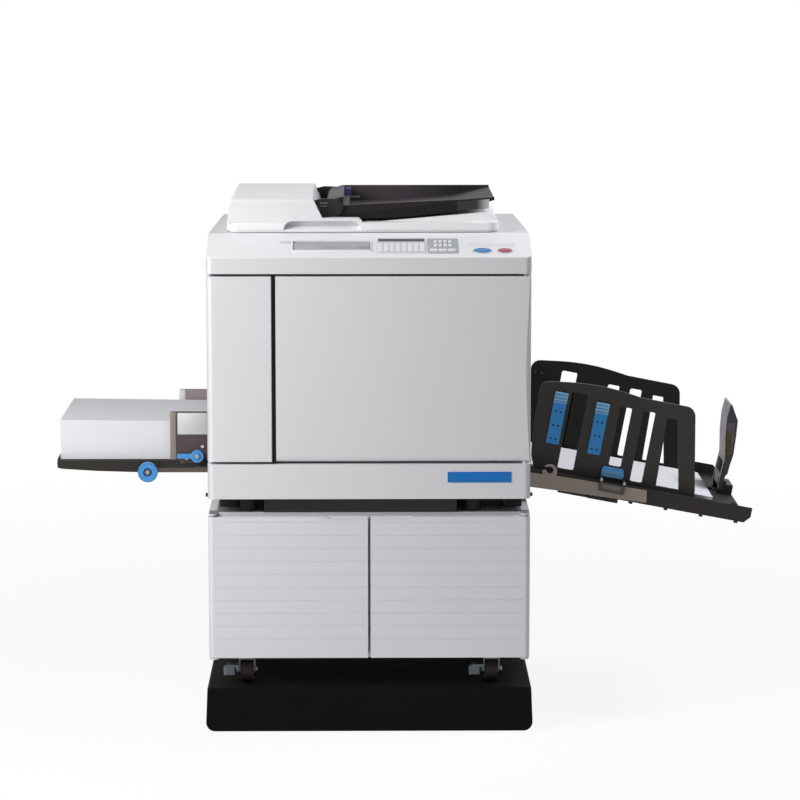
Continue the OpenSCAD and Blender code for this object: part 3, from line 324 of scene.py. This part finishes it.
# x runs along the panel and y up its slope from the front edge, z stands off it.
panel_slope = atan2(0.036, 0.119)
ON_PANEL = {"turn": (panel_slope, 0, 0), "place": (0, -0.319, 0.945)}
# Off-white moulded key caps, matt from a silicone coat.
key_cap = finish_coat("moulded_key_cap", "#e9e9eb", "#e2e2e5", 0.5, 0.7, 0.02)
# Light grey ABS of the plates round the keys, satin, in three shades up to nearly white.
key_plate = finish_coat("grey_key_plate", "#aaadb2", "#a2a5aa", 0.45, 0.8, 0.02)
pale_plate = finish_coat("pale_key_plate", "#cfd0d4", "#c9cace", 0.45, 0.8, 0.02)
words_plate = finish_coat("bare_words_plate", "#dfdfe1", "#dbdbdd", 0.45, 0.8, 0.02)
# Clear acrylic over a grey liquid-crystal panel: smooth and glossy.
display = finish_coat("display_window", "#a8aaad", "#9c9fa1", 0.22, 60.0, 0.0,
                      {"Coat Weight": 0.3})
# Smoked acrylic of the counter's window: dark grey and smooth.
smoked = finish_coat("smoked_acrylic", "#4c4d50", "#434447", 0.3, 60.0, 0.0,
                     {"Specular IOR Level": 0.3})
# Translucent blue and red polycarbonate: saturated and smooth, with a thin clear coat.
start_blue = finish_coat("blue_key_cap", "#2f7cb6", "#2b74ab", 0.35, 30.0, 0.0,
                         {"Coat Weight": 0.2})
stop_red = finish_coat("red_key_cap", "#a3405a", "#963850", 0.35, 30.0, 0.0,
                       {"Coat Weight": 0.2})
# name, x from and to, y from and to, height, corner in mm, finish, slot
PLATES = (
    ("display_glass", -0.1487, 0.0028, 0.0312, 0.0777, 0.0002, 1.0, display, "glass"),
    ("counter_window", 0.0182, 0.1095, 0.0800, 0.0927, 0.0010, 1.5, smoked, "black_plastic"),
    ("menu_key_plate", 0.0155, 0.1110, 0.0190, 0.0770, 0.0006, 2.0, pale_plate, "white_plastic"),
    ("number_key_plate", 0.1147, 0.1747, 0.0180, 0.0925, 0.0012, 3.0, key_plate, "white_plastic"),
    ("mark_place", -0.1764, -0.1524, 0.0680, 0.0810, 0.0004, 5.0, pale_plate, "white_plastic"),
    ("words_place", 0.1930, 0.2860, 0.0515, 0.0710, 0.0003, 2.0, words_plate, "white_plastic"))
plate_root = -0.001
for name, x0, x1, y0, y1, rise, corner, material, slot in PLATES:
    piece = slab(name, (x0, y0, plate_root), (x1, y1, rise), corner, 0.15)
    complete(piece, material, "machine", slot, **ON_PANEL)


def hollow(piece, width):
    """Opens the middle of a plate that faces z, and leaves a frame of this width."""
    pick(piece, lambda c, d: abs(d.z) > 0.9)
    bpy.ops.mesh.inset(thickness=width)
    bpy.ops.mesh.delete(type="FACE")
    bpy.ops.mesh.select_mode(type="EDGE")
    bpy.ops.mesh.select_non_manifold()
    bpy.ops.mesh.bridge_edge_loops()
    return piece


def repeat(count, step):
    """Copies the open mesh again and again, each copy a step on."""
    bpy.ops.mesh.select_all(action="SELECT")
    for _ in range(count):
        bpy.ops.mesh.duplicate()
        bpy.ops.transform.translate(value=step)


# The display lies under a thin frame.
piece = slab("display_frame", (-0.1530, 0.0265, plate_root), (0.0070, 0.0820, 0.0012), 4.4, 0.3)
complete(hollow(piece, 0.0040), bright_abs, "machine", "white_plastic", **ON_PANEL)
# name, width and depth of a key, height, middle of the first, columns, rows, steps, corner in mm
KEYS = (
    ("menu_keys", 0.0104, 0.0420, 0.0022, 0.0224, 0.0470, 8, 1, 0.0117, 0.0, 2.0),
    ("number_keys", 0.0064, 0.0100, 0.0032, 0.1310, 0.0553, 4, 2, 0.0093, 0.0185, 2.0),
    ("wide_keys", 0.0160, 0.0095, 0.0032, 0.1270, 0.0308, 3, 1, 0.0178, 0.0, 2.5))
for name, wide, deep, rise, x, y, columns, rows, step_x, step_y, corner in KEYS:
    piece = slab(name, (x - wide / 2, y - deep / 2, 0), (x + wide / 2, y + deep / 2, rise),
                 corner, 0.6)
    repeat(columns - 1, (step_x, 0, 0))
    repeat(rows - 1, (0, step_y, 0))
    complete(piece, key_cap, "machine", "white_plastic", **ON_PANEL)
# name, middle, width, depth, height of the wall, finish, slot
OVALS = (("start_bezel", 0.2218, 0.0390, 0.0260, 0.0008, pale_plate, "white_plastic"),
         ("start_key", 0.2218, 0.0350, 0.0215, 0.0026, start_blue, "blue_plastic"),
         ("stop_bezel", 0.2657, 0.0315, 0.0250, 0.0008, pale_plate, "white_plastic"),
         ("stop_key", 0.2657, 0.0275, 0.0200, 0.0026, stop_red, "blue_plastic"))
oval_y = 0.0293
for name, x, wide, deep, rise, material, slot in OVALS:
    piece = button(name, wide, deep, rise, ((0.0008, 0.0005), (0.0022, 0.0005), (0.0030, 0.0002)))
    bpy.ops.transform.translate(value=(x, oval_y, 0))
    complete(piece, material, "machine", slot, smooth=60, **ON_PANEL)

# ------------------------------------------------------------------ badge
# A bare badge punched from blue lacquered aluminium sheet, its edge rolled over. It is stuck on
# the right of the base fascia, and carries no words.

# Blue lacquer over aluminium: an even deep blue with a soft gloss.
badge_blue = finish_coat("blue_lacquered_badge", "#1c74c4", "#1a6ebb", 0.4, 60.0, 0.0,
                         {"Specular IOR Level": 0.25})
piece = slab("badge", (0.1540, -0.3212, 0.5010), (0.2790, -0.3196, 0.5220), 1.6, 0.3, "y")
pick(piece, lambda c, d: d.y < -0.9 and c.y < -0.3211)
rolled_edge, sunk = 0.0012, 0.0004
bpy.ops.mesh.inset(thickness=rolled_edge)
bpy.ops.transform.translate(value=(0, sunk, 0))
complete(piece, badge_blue, "machine", "blue_plastic")

# ------------------------------------------------------------------ print drum
# The ink drum: a steel screen wrapped in a dark blue master, with a flange and a carrying bar on
# its front end. It lies front to back behind the door.

# Inked master over the screen: dark blue, half matt, with the weave's fine grain.
screen_lacquer = finish_coat("inked_screen", "#3a6a98", "#2c5680", 0.42, 1.0, 0.05)
# Green ABS of what the user grips: satin and clear in colour.
green_abs = finish_coat("green_moulded_abs", "#3f8f7a", "#3a8671", 0.4, 0.9, 0.03)
dress("print_drum", screen_lacquer, 0.8)
drum_x, drum_z, drum_front = 0.040, 0.726, -0.2810
piece = button("drum_flange", 0.190, 0.190, 0.0030,
               ((0.002, 0.001), (0.018, 0.0), (0.003, -0.002), (0.030, 0.0)))
complete(piece, powder_coat, "machine", "grey_plastic", FACE["front"],
         (drum_x, drum_front, drum_z))
piece = slab("drum_handle", (drum_x - 0.055, -0.2990, drum_z - 0.012),
             (drum_x + 0.055, -0.2850, drum_z + 0.012), 10.0, 3.0, "y")
complete(piece, green_abs, "machine", "blue_plastic")
post_out, post_half_x, post_half_z = 0.042, 0.006, 0.007
for side, x in (("left", drum_x - post_out), ("right", drum_x + post_out)):
    piece = slab("drum_handle_post_" + side, (x - post_half_x, -0.2900, drum_z - post_half_z),
                 (x + post_half_x, drum_front + 0.0010, drum_z + post_half_z), 3.0, 1.0, "y")
    complete(piece, green_abs, "machine", "blue_plastic")

# ------------------------------------------------------------------ scanner glass and lid
# A sheet of float glass in the deck, and a moulded lid that turns on two steel pins behind it. The
# lid presses originals flat with a stiff white platen of foamed board faced with vinyl, glued on.

# Float glass: clear with a green edge, over the scanner's grey bed.
float_glass = finish_coat("float_glass", "#93a29f", "#8d9c9a", 0.08, 60.0, 0.0,
                          {"Coat Weight": 1.0, "Coat Roughness": 0.03})
# Vinyl facing: matt, with a faint pebble.
white_vinyl = finish_coat("white_vinyl", "#ececea", "#e4e4e2", 0.6, 1.2, 0.05)
# Moulded ABS of the lid, satin, painted the whitest of all as painted light on its upper faces.
lid_abs = finish_coat("lid_moulded_abs", "#f3f3f5", "#efeff2", 0.38, 0.8, 0.02)
dress("stage_glass", float_glass, 0.4)
dress("scanner_lid", lid_abs, 1.5)
piece = slab("lid_platen", (-0.2250, -0.1560, 0.9820), (0.1990, 0.1440, 0.9864), 4.0, 1.2)
complete(piece, white_vinyl, "lid", "white_plastic")
# A moulded lip runs round the platen, and closes most of the gap over the deck.
piece = slab("lid_lip", (-0.2770, -0.1930, 0.9825), (0.2545, 0.2050, 0.9866), 21.0, 0.6)
complete(hollow(piece, 0.0200), lid_abs, "lid", "white_plastic")

# ------------------------------------------------------------------ document feeder
# The feeder's housing stands on the lid. Its tray is black moulded plastic, hinged between two
# cheeks, with a small violet guide lever, and its near wall is deeper towards the open end.

# Black ABS: fine-grained and satin, with a brown cast where the grain catches light.
black_abs = finish_coat("black_moulded_abs", "#211f1f", "#1a1819", 0.5, 0.9, 0.04,
                        {"Specular IOR Level": 0.25})
# The tray's ABS: charcoal and matt, with a slow drift in its tone.
tray_abs = finish_coat("tray_moulded_abs", "#464146", "#3e3a3f", 0.55, 0.9, 0.04,
                       {"Specular IOR Level": 0.2})
# Grey pad print: flat ink on the cheek's marks and the guide's ridge, smoother than the plastic.
grey_ink = finish_coat("grey_pad_print", "#6f6e68", "#67665f", 0.6, 40.0, 0.0)
# Violet ABS of the guide lever: satin, to be found at a glance.
violet_abs = finish_coat("violet_moulded_abs", "#565a8e", "#4d5184", 0.42, 0.9, 0.03)
dress("feeder_housing", bright_abs, 2.5)
dress("tray_cheeks", black_abs, 1.0)
dress("document_tray", tray_abs, 1.5)
# Painted shade: the tray is painted darker towards its open end, its near wall dark brown, and
# almost black below a line where it is undercut.
near_wall_y = -0.1640
undercut_z, undercut_rise = 1.0203, 0.1165
axis = add(tray_abs, "SeparateXYZ", inputs={
    "Vector": add(tray_abs, "TexCoord").outputs["Object"]})
far = add(tray_abs, "MapRange", {"interpolation_type": "SMOOTHSTEP"}, {
    "Value": axis.outputs["X"], "From Min": 0.06, "From Max": 0.20, "To Max": 0.85})
shaded(tray_abs, far.outputs[0], "#161415")
near = add(tray_abs, "Math", {"operation": "LESS_THAN"}, {0: axis.outputs["Y"], 1: near_wall_y})
shaded(tray_abs, near.outputs[0], "#1d1a18")
line = add(tray_abs, "Math", {"operation": "MULTIPLY_ADD"}, {
    0: axis.outputs["X"], 1: undercut_rise, 2: undercut_z})
under = add(tray_abs, "Math", {"operation": "SUBTRACT"}, {
    0: line.outputs[0], 1: axis.outputs["Z"]})
under = add(tray_abs, "MapRange", inputs={
    "Value": under.outputs[0], "From Min": -0.0006, "From Max": 0.0010})
under = add(tray_abs, "Math", {"operation": "MULTIPLY"}, {
    0: under.outputs[0], 1: near.outputs[0]})
shaded(tray_abs, under.outputs[0], "#0c0a08")
TRAY_MARKS = (
    ("cheek_mark_upper", (-0.0975, -0.1727, 1.0366), (-0.0812, -0.1721, 1.0392), grey_ink, "lid"),
    ("cheek_mark_lower", (-0.0975, -0.1727, 1.0306), (-0.0838, -0.1721, 1.0332), grey_ink, "lid"),
    ("guide_ridge", (-0.0776, 0.0805, 1.0270), (-0.0177, 0.0850, 1.0312), grey_ink,
     "document_tray"),
    ("guide_lever", (-0.0652, 0.0830, 1.0300), (-0.0363, 0.0880, 1.0487), violet_abs,
     "document_tray"))
for name, low, high, material, body in TRAY_MARKS:
    complete(slab(name, low, high, 1.2, 0.2, "y"), material, body, "black_plastic")


def trimmed(name, outline, thick):
    """A plate that faces z: a sheet cut to a convex outline, whose points turn left."""
    reach = 3 * max(abs(v) for point in outline for v in point) + 0.1
    piece = begin(name, "plane", size=reach)
    for (x0, y0), (x1, y1) in zip(outline, outline[1:] + outline[:1]):
        bpy.ops.mesh.select_all(action="SELECT")
        bpy.ops.mesh.bisect(plane_co=(x0, y0, 0), plane_no=(y1 - y0, x0 - x1, 0),
                            clear_outer=True)
    bpy.ops.mesh.select_all(action="SELECT")
    bpy.ops.mesh.extrude_region_move(TRANSFORM_OT_translate={"value": (0, 0, thick)})
    bpy.ops.mesh.select_all(action="SELECT")
    bpy.ops.mesh.normals_make_consistent(inside=False)
    return piece


# Thin ABS of the near wall's deep outer end: charcoal, with painted light from the white lid beside
# it making it pale towards its end.
thin_abs = finish_coat("thin_moulded_abs", "#332f33", "#2d292d", 0.5, 0.9, 0.04,
                       {"Specular IOR Level": 0.25})
axis = add(thin_abs, "SeparateXYZ", inputs={
    "Vector": add(thin_abs, "TexCoord").outputs["Object"]})
paler = add(thin_abs, "MapRange", {"interpolation_type": "SMOOTHSTEP"}, {
    "Value": axis.outputs["X"], "From Min": 0.2120, "From Max": 0.2400})
shaded(thin_abs, paler.outputs[0], "#b9b9bc")
WALL_END = [(0.1760, 1.0215), (0.2385, 1.0262), (0.2400, 1.0450), (0.1760, 1.0400)]
complete(trimmed("tray_wall_end", WALL_END, 0.0012), thin_abs, "document_tray", "black_plastic",
         FACE["front"], (0, near_wall_y, 0))

# ------------------------------------------------------------------ feed tray and its lift
# The feed tray rides on a brown steel carriage that climbs two plated rods. A blue dial on the
# carriage shifts the tray sideways. The paper is a stack of A3 copier sheets.

# Brown stove enamel on steel: half matt, with a fine orange peel.
brown_paint = finish_coat("brown_painted_steel", "#8a7b71", "#817269", 0.5, 1.2, 0.03)
# Dark ABS of the feed tray: brownish black and matt.
dark_abs = finish_coat("dark_moulded_abs", "#272421", "#211e1b", 0.52, 0.9, 0.04,
                       {"Specular IOR Level": 0.25})
# Blue ABS of all that the user turns: bright and smooth, and deeper in the grips and grooves.
blue_abs = finish_coat("blue_moulded_abs", "#3f8fd0", "#3a88c8", 0.36, 0.9, 0.02)
deep_blue_abs = finish_coat("deep_blue_moulded_abs", "#2c6796", "#285f8b", 0.36, 0.9, 0.02)
# Slate blue ABS at the bottom of the dial's recess: dull and dark.
slate_blue = finish_coat("slate_blue_moulded_abs", "#3c4a60", "#364358", 0.45, 0.9, 0.02)
# Grey moulded cap over the axle's end: warm grey, satin.
dust_grey = finish_coat("grey_axle_cap", "#a3979b", "#998d91", 0.5, 1.0, 0.02)
# Copier paper: matt, its sheets' edges a fine horizontal grain, drawn 1.3 mm apart so that it
# shows.
paper = finish_coat("copier_paper", "#dbdce1", "#d3d5d9", 0.85, 0.6, 0.0,
                    {"Specular IOR Level": 0.2})
drift = [n for n in paper.node_tree.nodes if n.bl_idname == "ShaderNodeTexNoise"][0]
layers = add(paper, "Mapping", inputs={
    "Vector": add(paper, "TexCoord").outputs["Object"], "Scale": (4, 4, 760)})
paper.node_tree.links.new(layers.outputs["Vector"], drift.inputs["Vector"])
drift.inputs["Scale"].default_value = 1.0
dress("guide_rods", zinc_plate, 0.4)
dress("feed_carriage", brown_paint, 0.8)
dress("position_dial", blue_abs, 0.6)
dress("feed_tray", dark_abs, 1.0)
dress("paper_stack", paper, 0.3)
dial_x, dial_z, dial_front = -0.4440, 0.4972, -0.1780
recess_in, grips_in = 0.0030, 0.0106
complete(button("dial_recess", 0.0160, 0.0160, 0.0006), slate_blue, "position_dial",
         "black_plastic", FACE["front"], (dial_x, dial_front + recess_in, dial_z))
complete(button("dial_axle", 0.0078, 0.0078, 0.0010), dust_grey, "position_dial", "steel",
         FACE["front"], (dial_x, dial_front, dial_z))
# Round grips stand out of the dial's rim, evenly spaced.
grip_count, grip_out, grip_long = 16, 0.0184, 0.0108
piece = button("dial_grips", 0.0032, 0.0032, grip_long, ((0.0005, 0.0003), (0.0006, 0.0001)), 12)
bpy.ops.transform.translate(value=(grip_out, 0, 0))
for _ in range(grip_count - 1):
    bpy.ops.mesh.duplicate()
    bpy.ops.transform.rotate(value=-2 * pi / grip_count, orient_axis="Z",
                             center_override=(0, 0, 0))
complete(piece, deep_blue_abs, "position_dial", "blue_plastic", FACE["front"],
         (dial_x, dial_front + grips_in, dial_z))

# ------------------------------------------------------------------ feed fences
# Two brown moulded side fences on feet in the tray's groove, each edged with a lighter strip. The
# front one has a bare white label, two screws, and the blue lever that locks them.

# Brown ABS: deep and satin in front, and paler on the fence at the back.
brown_abs = finish_coat("brown_moulded_abs", "#4c3f3f", "#443838", 0.46, 0.9, 0.04,
                        {"Specular IOR Level": 0.4})
pale_brown_abs = finish_coat("pale_brown_moulded_abs", "#8f8282", "#867a7a", 0.5, 0.9, 0.04)
# Blue-grey cap in the lever's knob: smooth and satin.
cap_grey = finish_coat("blue_grey_cap", "#8b9caf", "#8394a7", 0.42, 0.9, 0.02)
# Warm grey edge strip: matt, it hides the fence's cut edge.
strip_grey = finish_coat("grey_edge_strip", "#8d8279", "#837970", 0.55, 0.9, 0.03)
# Label film: smooth, off-white and bare. The rear strip and the pale screws match it.
label_white = finish_coat("bare_label", "#d2d1d2", "#cbcacc", 0.5, 30.0, 0.0)
dress("feed_fence_front", brown_abs, 0.8)
dress("feed_fence_rear", pale_brown_abs, 0.8)
dress("lock_lever", blue_abs, 0.8)
FENCE_TRIM = (
    ("fence_strip_front", (-0.3996, -0.1492, 0.5188), (-0.3885, -0.1483, 0.6154), strip_grey,
     "feed_fence_front"),
    ("fence_label", (-0.3850, -0.1491, 0.5700), (-0.3256, -0.1483, 0.6135), label_white,
     "feed_fence_front"),
    ("fence_strip_rear", (-0.3996, 0.1658, 0.5188), (-0.3870, 0.1667, 0.6154), label_white,
     "feed_fence_rear"))
for name, low, high, material, body in FENCE_TRIM:
    complete(slab(name, low, high, 1.0, 0.2, "y"), material, body, "paper")
for number, (x, z) in enumerate(((-0.3354, 0.5448), (-0.3673, 0.5205)), 1):
    screw("fence_screw_%d" % number, 0.0062, (x, -0.1485, z), "feed_fence_front", FACE["front"],
          label_white)
knob = {"turn": FACE["front"], "place": (-0.3455, -0.1650, 0.5275)}
complete(button("knob_groove", 0.0150, 0.0150, 0.0004), deep_blue_abs, "lock_lever",
         "blue_plastic", **knob)
complete(button("knob_cap", 0.0098, 0.0098, 0.0012), cap_grey, "lock_lever", "steel", **knob)

# ------------------------------------------------------------------ receiving tray
# A ribbed black tray hung on two brown steel arms, falling away from the machine, with the printed
# sheets on its floor.

tray_x, tray_z, tray_slope = 0.317, 0.502, radians(10.6)


def on_tray(y):
    """The place of a piece modelled with x down the tray, y square off it and z to the front."""
    return {"turn": (pi / 2, tray_slope, 0), "place": (tray_x, y, tray_z)}


# Charcoal ABS: matt, its floor near black and its sides charcoal.
charcoal_abs = finish_coat("charcoal_moulded_abs", "#363231", "#2e2b2a", 0.62, 0.9, 0.04,
                           {"Specular IOR Level": 0.2})
shaded(charcoal_abs, turned(charcoal_abs, "Z", 0.8, 0.82), "#100f0e")
# Pale brown stove enamel on the steel arms: half matt.
pale_brown_paint = finish_coat("pale_brown_painted_steel", "#a6988f", "#9c8e85", 0.5, 1.2, 0.03)
# Printed sheets: matt paper, painted brighter than the stack's paper as painted light for the shade
# in the tray, its tone nearly even.
sheet_paper = finish_coat("printed_sheets", "#f4f5f9", "#f0f1f6", 0.85, 0.6, 0.0,
                          {"Specular IOR Level": 0.2})
dress("receiving_tray", charcoal_abs, 0.8)
dress("tray_arms", pale_brown_paint, 0.5)
dress("delivered_sheets", sheet_paper, 0.3)
# A moulded tab stands on the front side rail.
rail_y = -0.1745
piece = slab("rail_tab", (0.4180, 0.0040, -0.0010), (0.4296, 0.0092, 0.0030), 1.0, 0.5)
complete(piece, charcoal_abs, "machine", "grey_plastic", **on_tray(rail_y))

# ------------------------------------------------------------------ receiving fences
# Two tall slotted fences of black moulded plastic. Each carries two blue paper arrangers with
# lighter caps. The rear fence's first slot is closed by a plate, and a blue pinch handle on a
# steel bracket slides the pair.

# Black ABS of the fences: half matt and brownish, the rear one painted darker as painted shade, for
# the shade it stands in.
fence_abs = finish_coat("fence_moulded_abs", "#353230", "#2d2a28", 0.52, 0.9, 0.04,
                        {"Specular IOR Level": 0.3})
deep_fence_abs = finish_coat("rear_fence_moulded_abs", "#24231f", "#1e1d1a", 0.55, 0.9, 0.04,
                             {"Specular IOR Level": 0.2})
# Blue ABS in three shades, all satin: strong on the arrangers, pale on their caps, and light on the
# handle.
# All three are painted lighter than the plastic, as painted light for the shade on the receiving
# side.
arranger_blue = finish_coat("arranger_moulded_abs", "#349ce8", "#2f94de", 0.4, 0.9, 0.02)
cap_blue = finish_coat("cap_moulded_abs", "#a9dcf8", "#9ed2f0", 0.36, 0.9, 0.02)
handle_blue = finish_coat("handle_moulded_abs", "#70c2f8", "#68baf0", 0.36, 0.9, 0.02)
# Black-coated steel of bracket and rivets: dark grey with a faint violet cast, half matt.
bracket_steel = finish_coat("black_steel_bracket", "#3c3b40", "#343338", 0.45, 1.0, 0.02)
dress("receiving_fence_front", fence_abs, 0.8)
dress("receiving_fence_rear", deep_fence_abs, 0.8)
dress("arrangers_front", arranger_blue, 0.5)
dress("arrangers_rear", arranger_blue, 0.5)
dress("fence_handle", handle_blue, 0.8)
cap_half, cap_tall, cap_thick = 0.0133, 0.0220, 0.0016
ridge_half, ridge_thick = 0.0115, 0.0028
for side, out, face_y in (("front", 1, -0.1525), ("rear", -1, 0.1785)):
    body = "receiving_fence_" + side
    for number, (u, top) in enumerate(((0.0420, 0.1630), (0.1280, 0.1570)), 1):
        # a cap clipped over the arranger's upper end, with three ridges to push against
        back, front = sorted((0, out * cap_thick))
        piece = slab("cap_%s_%d" % (side, number), (u - cap_half, top - cap_tall, back),
                     (u + cap_half, top + 0.0003, front), 2.0, 0.5)
        complete(piece, cap_blue, body, "blue_plastic", **on_tray(face_y))
        back, front = sorted((0, out * ridge_thick))
        piece = slab("cap_ridges_%s_%d" % (side, number), (u - ridge_half, top - 0.0200, back),
                     (u + ridge_half, top - 0.0180, front), 0.4, 0.3)
        repeat(2, (0, 0.0070, 0))
        complete(piece, arranger_blue, body, "blue_plastic", **on_tray(face_y))
backing_y, rivet_y = 0.1745, 0.1675
piece = slab("slot_backing", (0.0500, 0.0040, -0.0016), (0.1010, 0.1300, 0.0), 2.0, 0.4)
complete(piece, deep_fence_abs, "receiving_fence_rear", "black_plastic", **on_tray(backing_y))
# Two rivets sit in the rear fence's upper corner.
piece = button("fence_rivets", 0.0050, 0.0050, 0.0010, vertices=16)
bpy.ops.transform.translate(value=(0.0054, 0.1538, 0))
repeat(1, (0.0143, 0.0004, 0))
complete(piece, bracket_steel, "receiving_fence_rear", "steel", **on_tray(rivet_y))
# The bracket is two legs and two bars over the rail, with two arms back to the fence.
bracket_y, bracket_arm_y = -0.1835, -0.1482
BRACKET = (
    ("bracket_legs", (0.1480, -0.0120, 0.0), (0.1535, 0.0110, 0.0030), (0.0465, 0, 0), bracket_y),
    ("bracket_bars", (0.1480, -0.0145, 0.0002), (0.2000, -0.0110, 0.0034), (0, 0.0140, 0),
     bracket_y),
    ("bracket_arms", (0.1480, 0.0062, 0.0), (0.1535, 0.0110, 0.0365), (0.0465, 0, 0),
     bracket_arm_y))
for name, low, high, step, y in BRACKET:
    piece = slab(name, low, high, 0.8, 0.4)
    repeat(1, step)
    complete(piece, bracket_steel, "receiving_fence_front", "black_plastic", **on_tray(y))
for number, u in enumerate((0.1505, 0.1975), 1):
    piece = button("bracket_screw_%d" % number, 0.0056, 0.0056, 0.0012, vertices=20)
    bpy.ops.transform.translate(value=(u, 0.0086, 0.0030))
    complete(piece, label_white, "receiving_fence_front", "steel", **on_tray(bracket_y))

# ------------------------------------------------------------------ end stopper
# A bent grey face plate with side ribs, their sides painted nearly black as painted shade, hinged on
# a slider in the tray's groove. A patch of olive felt and a mauve strip are glued on its near side.

# Grey moulded face. The plate's faces that turn to front and back, its ribs' sides, are painted
# nearly black as painted shade.
stopper_grey = finish_coat("grey_moulded_stopper", "#b0abb2", "#a8a3aa", 0.48, 0.9, 0.03)
shaded(stopper_grey, turned(stopper_grey, "Y", 0.8, 0.82), "#2b282e")
# Buffer rubber: near black and matt.
buffer_rubber = finish_coat("buffer_rubber", "#1d1c1f", "#171619", 0.7, 1.2, 0.05,
                            {"Specular IOR Level": 0.25})
# Olive felt: wholly matt, its fibres a coarse nap that changes tone every centimetre.
olive_felt = finish_coat("olive_felt", "#7c7446", "#6c653c", 0.9, 0.7, 0.12,
                         {"Specular IOR Level": 0.1}, 12.0)
# Mauve adhesive strip: smooth and matt.
mauve_strip = finish_coat("mauve_strip", "#6a6070", "#5f5666", 0.6, 0.9, 0.03)
dress("stopper_base", black_abs, 0.6)
dress("stopper_plate", stopper_grey, 0.8)
# A rubber buffer low on the face, a little proud of it.
buffer_y, near_rib_y = 0.0130, -0.0390
piece = slab("stopper_buffer", (0.4042, 0.0420, -0.0300), (0.4066, 0.0660, 0.0300), 0.8, 0.4)
complete(piece, buffer_rubber, "stopper_plate", "black_plastic", **on_tray(buffer_y))
STRIP = [(0.4085, 0.0800), (0.4180, 0.0860), (0.4185, 0.1180), (0.4125, 0.1500),
         (0.4020, 0.1590), (0.3972, 0.1580), (0.4010, 0.1200)]
PATCH = [(0.4085, 0.0820), (0.4130, 0.0820), (0.4150, 0.0970), (0.4105, 0.1280),
         (0.4018, 0.1550), (0.3976, 0.1570), (0.4012, 0.1200)]
for name, outline, thick, material in (("stopper_strip", STRIP, 0.0004, mauve_strip),
                                       ("stopper_patch", PATCH, 0.0009, olive_felt)):
    complete(trimmed(name, outline, thick), material, "stopper_plate", "grey_plastic",
             **on_tray(near_rib_y))

# ------------------------------------------------------------------ floor, light and camera
# A wide pale floor and a white surround. A large soft box stands high at the left front, a small
# one low beside it and one over the receiving tray, and even light fills the rest.

bpy.ops.object.select_all(action="DESELECT")
bpy.ops.mesh.primitive_circle_add(vertices=96, radius=40.0, fill_type="NGON", location=(0, 0, 0))
floor = bpy.context.object
floor.name = "floor"


def seen(material):
    """1 for what the lens sees, straight, mirrored or through glass, and 0 for light's own way."""
    rays = add(material, "LightPath")
    share = add(material, "Math", {"operation": "MAXIMUM"}, {
        0: rays.outputs["Is Camera Ray"], 1: rays.outputs["Is Glossy Ray"]})
    return add(material, "Math", {"operation": "MAXIMUM"}, {
        0: share.outputs[0], 1: rays.outputs["Is Transmission Ray"]}).outputs[0]


# Pale matt floor paint. It keeps its shadow near the object, and fades into the surround from
# 0.6 to 3 m away.
floor_white = bpy.data.materials.new("floor_white")
floor_white.use_nodes = True
paint = floor_white.node_tree.nodes["Principled BSDF"]
paint.inputs["Base Color"].default_value = linear("#f4f4f5")
paint.inputs["Roughness"].default_value = 0.9
paint.inputs["Specular IOR Level"].default_value = 0.0
glow = add(floor_white, "Emission", inputs={"Color": linear("#ffffff"), "Strength": 1.0})
reach = add(floor_white, "VectorMath", {"operation": "LENGTH"}, {
    0: add(floor_white, "TexCoord").outputs["Object"]})
share = add(floor_white, "MapRange", {"interpolation_type": "SMOOTHSTEP"}, {
    "Value": reach.outputs["Value"], "From Min": 0.6, "From Max": 3.0, "To Min": 0.90,
    "To Max": 1.0})
share = add(floor_white, "Math", {"operation": "MULTIPLY"}, {
    0: seen(floor_white), 1: share.outputs[0]})
blend = add(floor_white, "MixShader", inputs={
    0: share.outputs[0], 1: paint.outputs[0], 2: glow.outputs[0]})
floor_white.node_tree.links.new(
    blend.outputs[0], floor_white.node_tree.nodes["Material Output"].inputs["Surface"])
floor.data.materials.append(floor_white)

# White shows behind and in reflections, while a weak and slightly blue light fills the shade.
surround = bpy.data.worlds.new("surround")
bpy.context.scene.world = surround
surround.use_nodes = True
fill = surround.node_tree.nodes["Background"]
fill.inputs["Color"].default_value = linear("#f6f7fb")
fill.inputs["Strength"].default_value = 0.14
white = add(surround, "Background", inputs={"Color": linear("#ffffff"), "Strength": 1.0})
mix = add(surround, "MixShader", inputs={
    0: seen(surround), 1: fill.outputs[0], 2: white.outputs[0]})
surround.node_tree.links.new(
    mix.outputs[0], surround.node_tree.nodes["World Output"].inputs["Surface"])


def soft_box(name, place, aim, size, power, tint):
    """A round soft box of this width and power at a place, turned to what it lights."""
    lamp = bpy.data.lights.new(name, "AREA")
    lamp.shape = "DISK"
    lamp.size = size
    lamp.energy = power
    lamp.color = linear(tint)[:3]
    stand = bpy.data.objects.new(name, lamp)
    bpy.context.scene.collection.objects.link(stand)
    stand.location = place
    stand.rotation_euler = (Vector(aim) - Vector(place)).to_track_quat("-Z", "Y").to_euler()
    stand.visible_camera = False


door_middle, tray_middle = (0.0, -0.3, 0.75), (0.55, 0.0, 0.5)
soft_box("key", (-1.8, -1.4, 1.9), door_middle, 1.0, 50.0, "#fffefc")
soft_box("side", (-1.15, -0.90, 0.95), door_middle, 0.8, 4.3, "#fffdfa")
soft_box("tray", (1.35, 0.0, 1.85), tray_middle, 0.6, 17.5, "#fbfdff")

# A long lens stands 6.3 m in front, a little above the machine, and looks slightly down.
camera = bpy.data.objects.new("camera", bpy.data.cameras.new("camera"))
bpy.context.scene.collection.objects.link(camera)
bpy.context.scene.camera = camera
look_down, look_right = 8.447, 0.615
camera.location = (-0.004, -6.335, 1.558)
camera.rotation_euler = (radians(90 - look_down), 0, radians(-look_right))
camera.data.sensor_width = 36
camera.data.lens = 140.0
bpy.context.scene.view_settings.view_transform = "Standard"
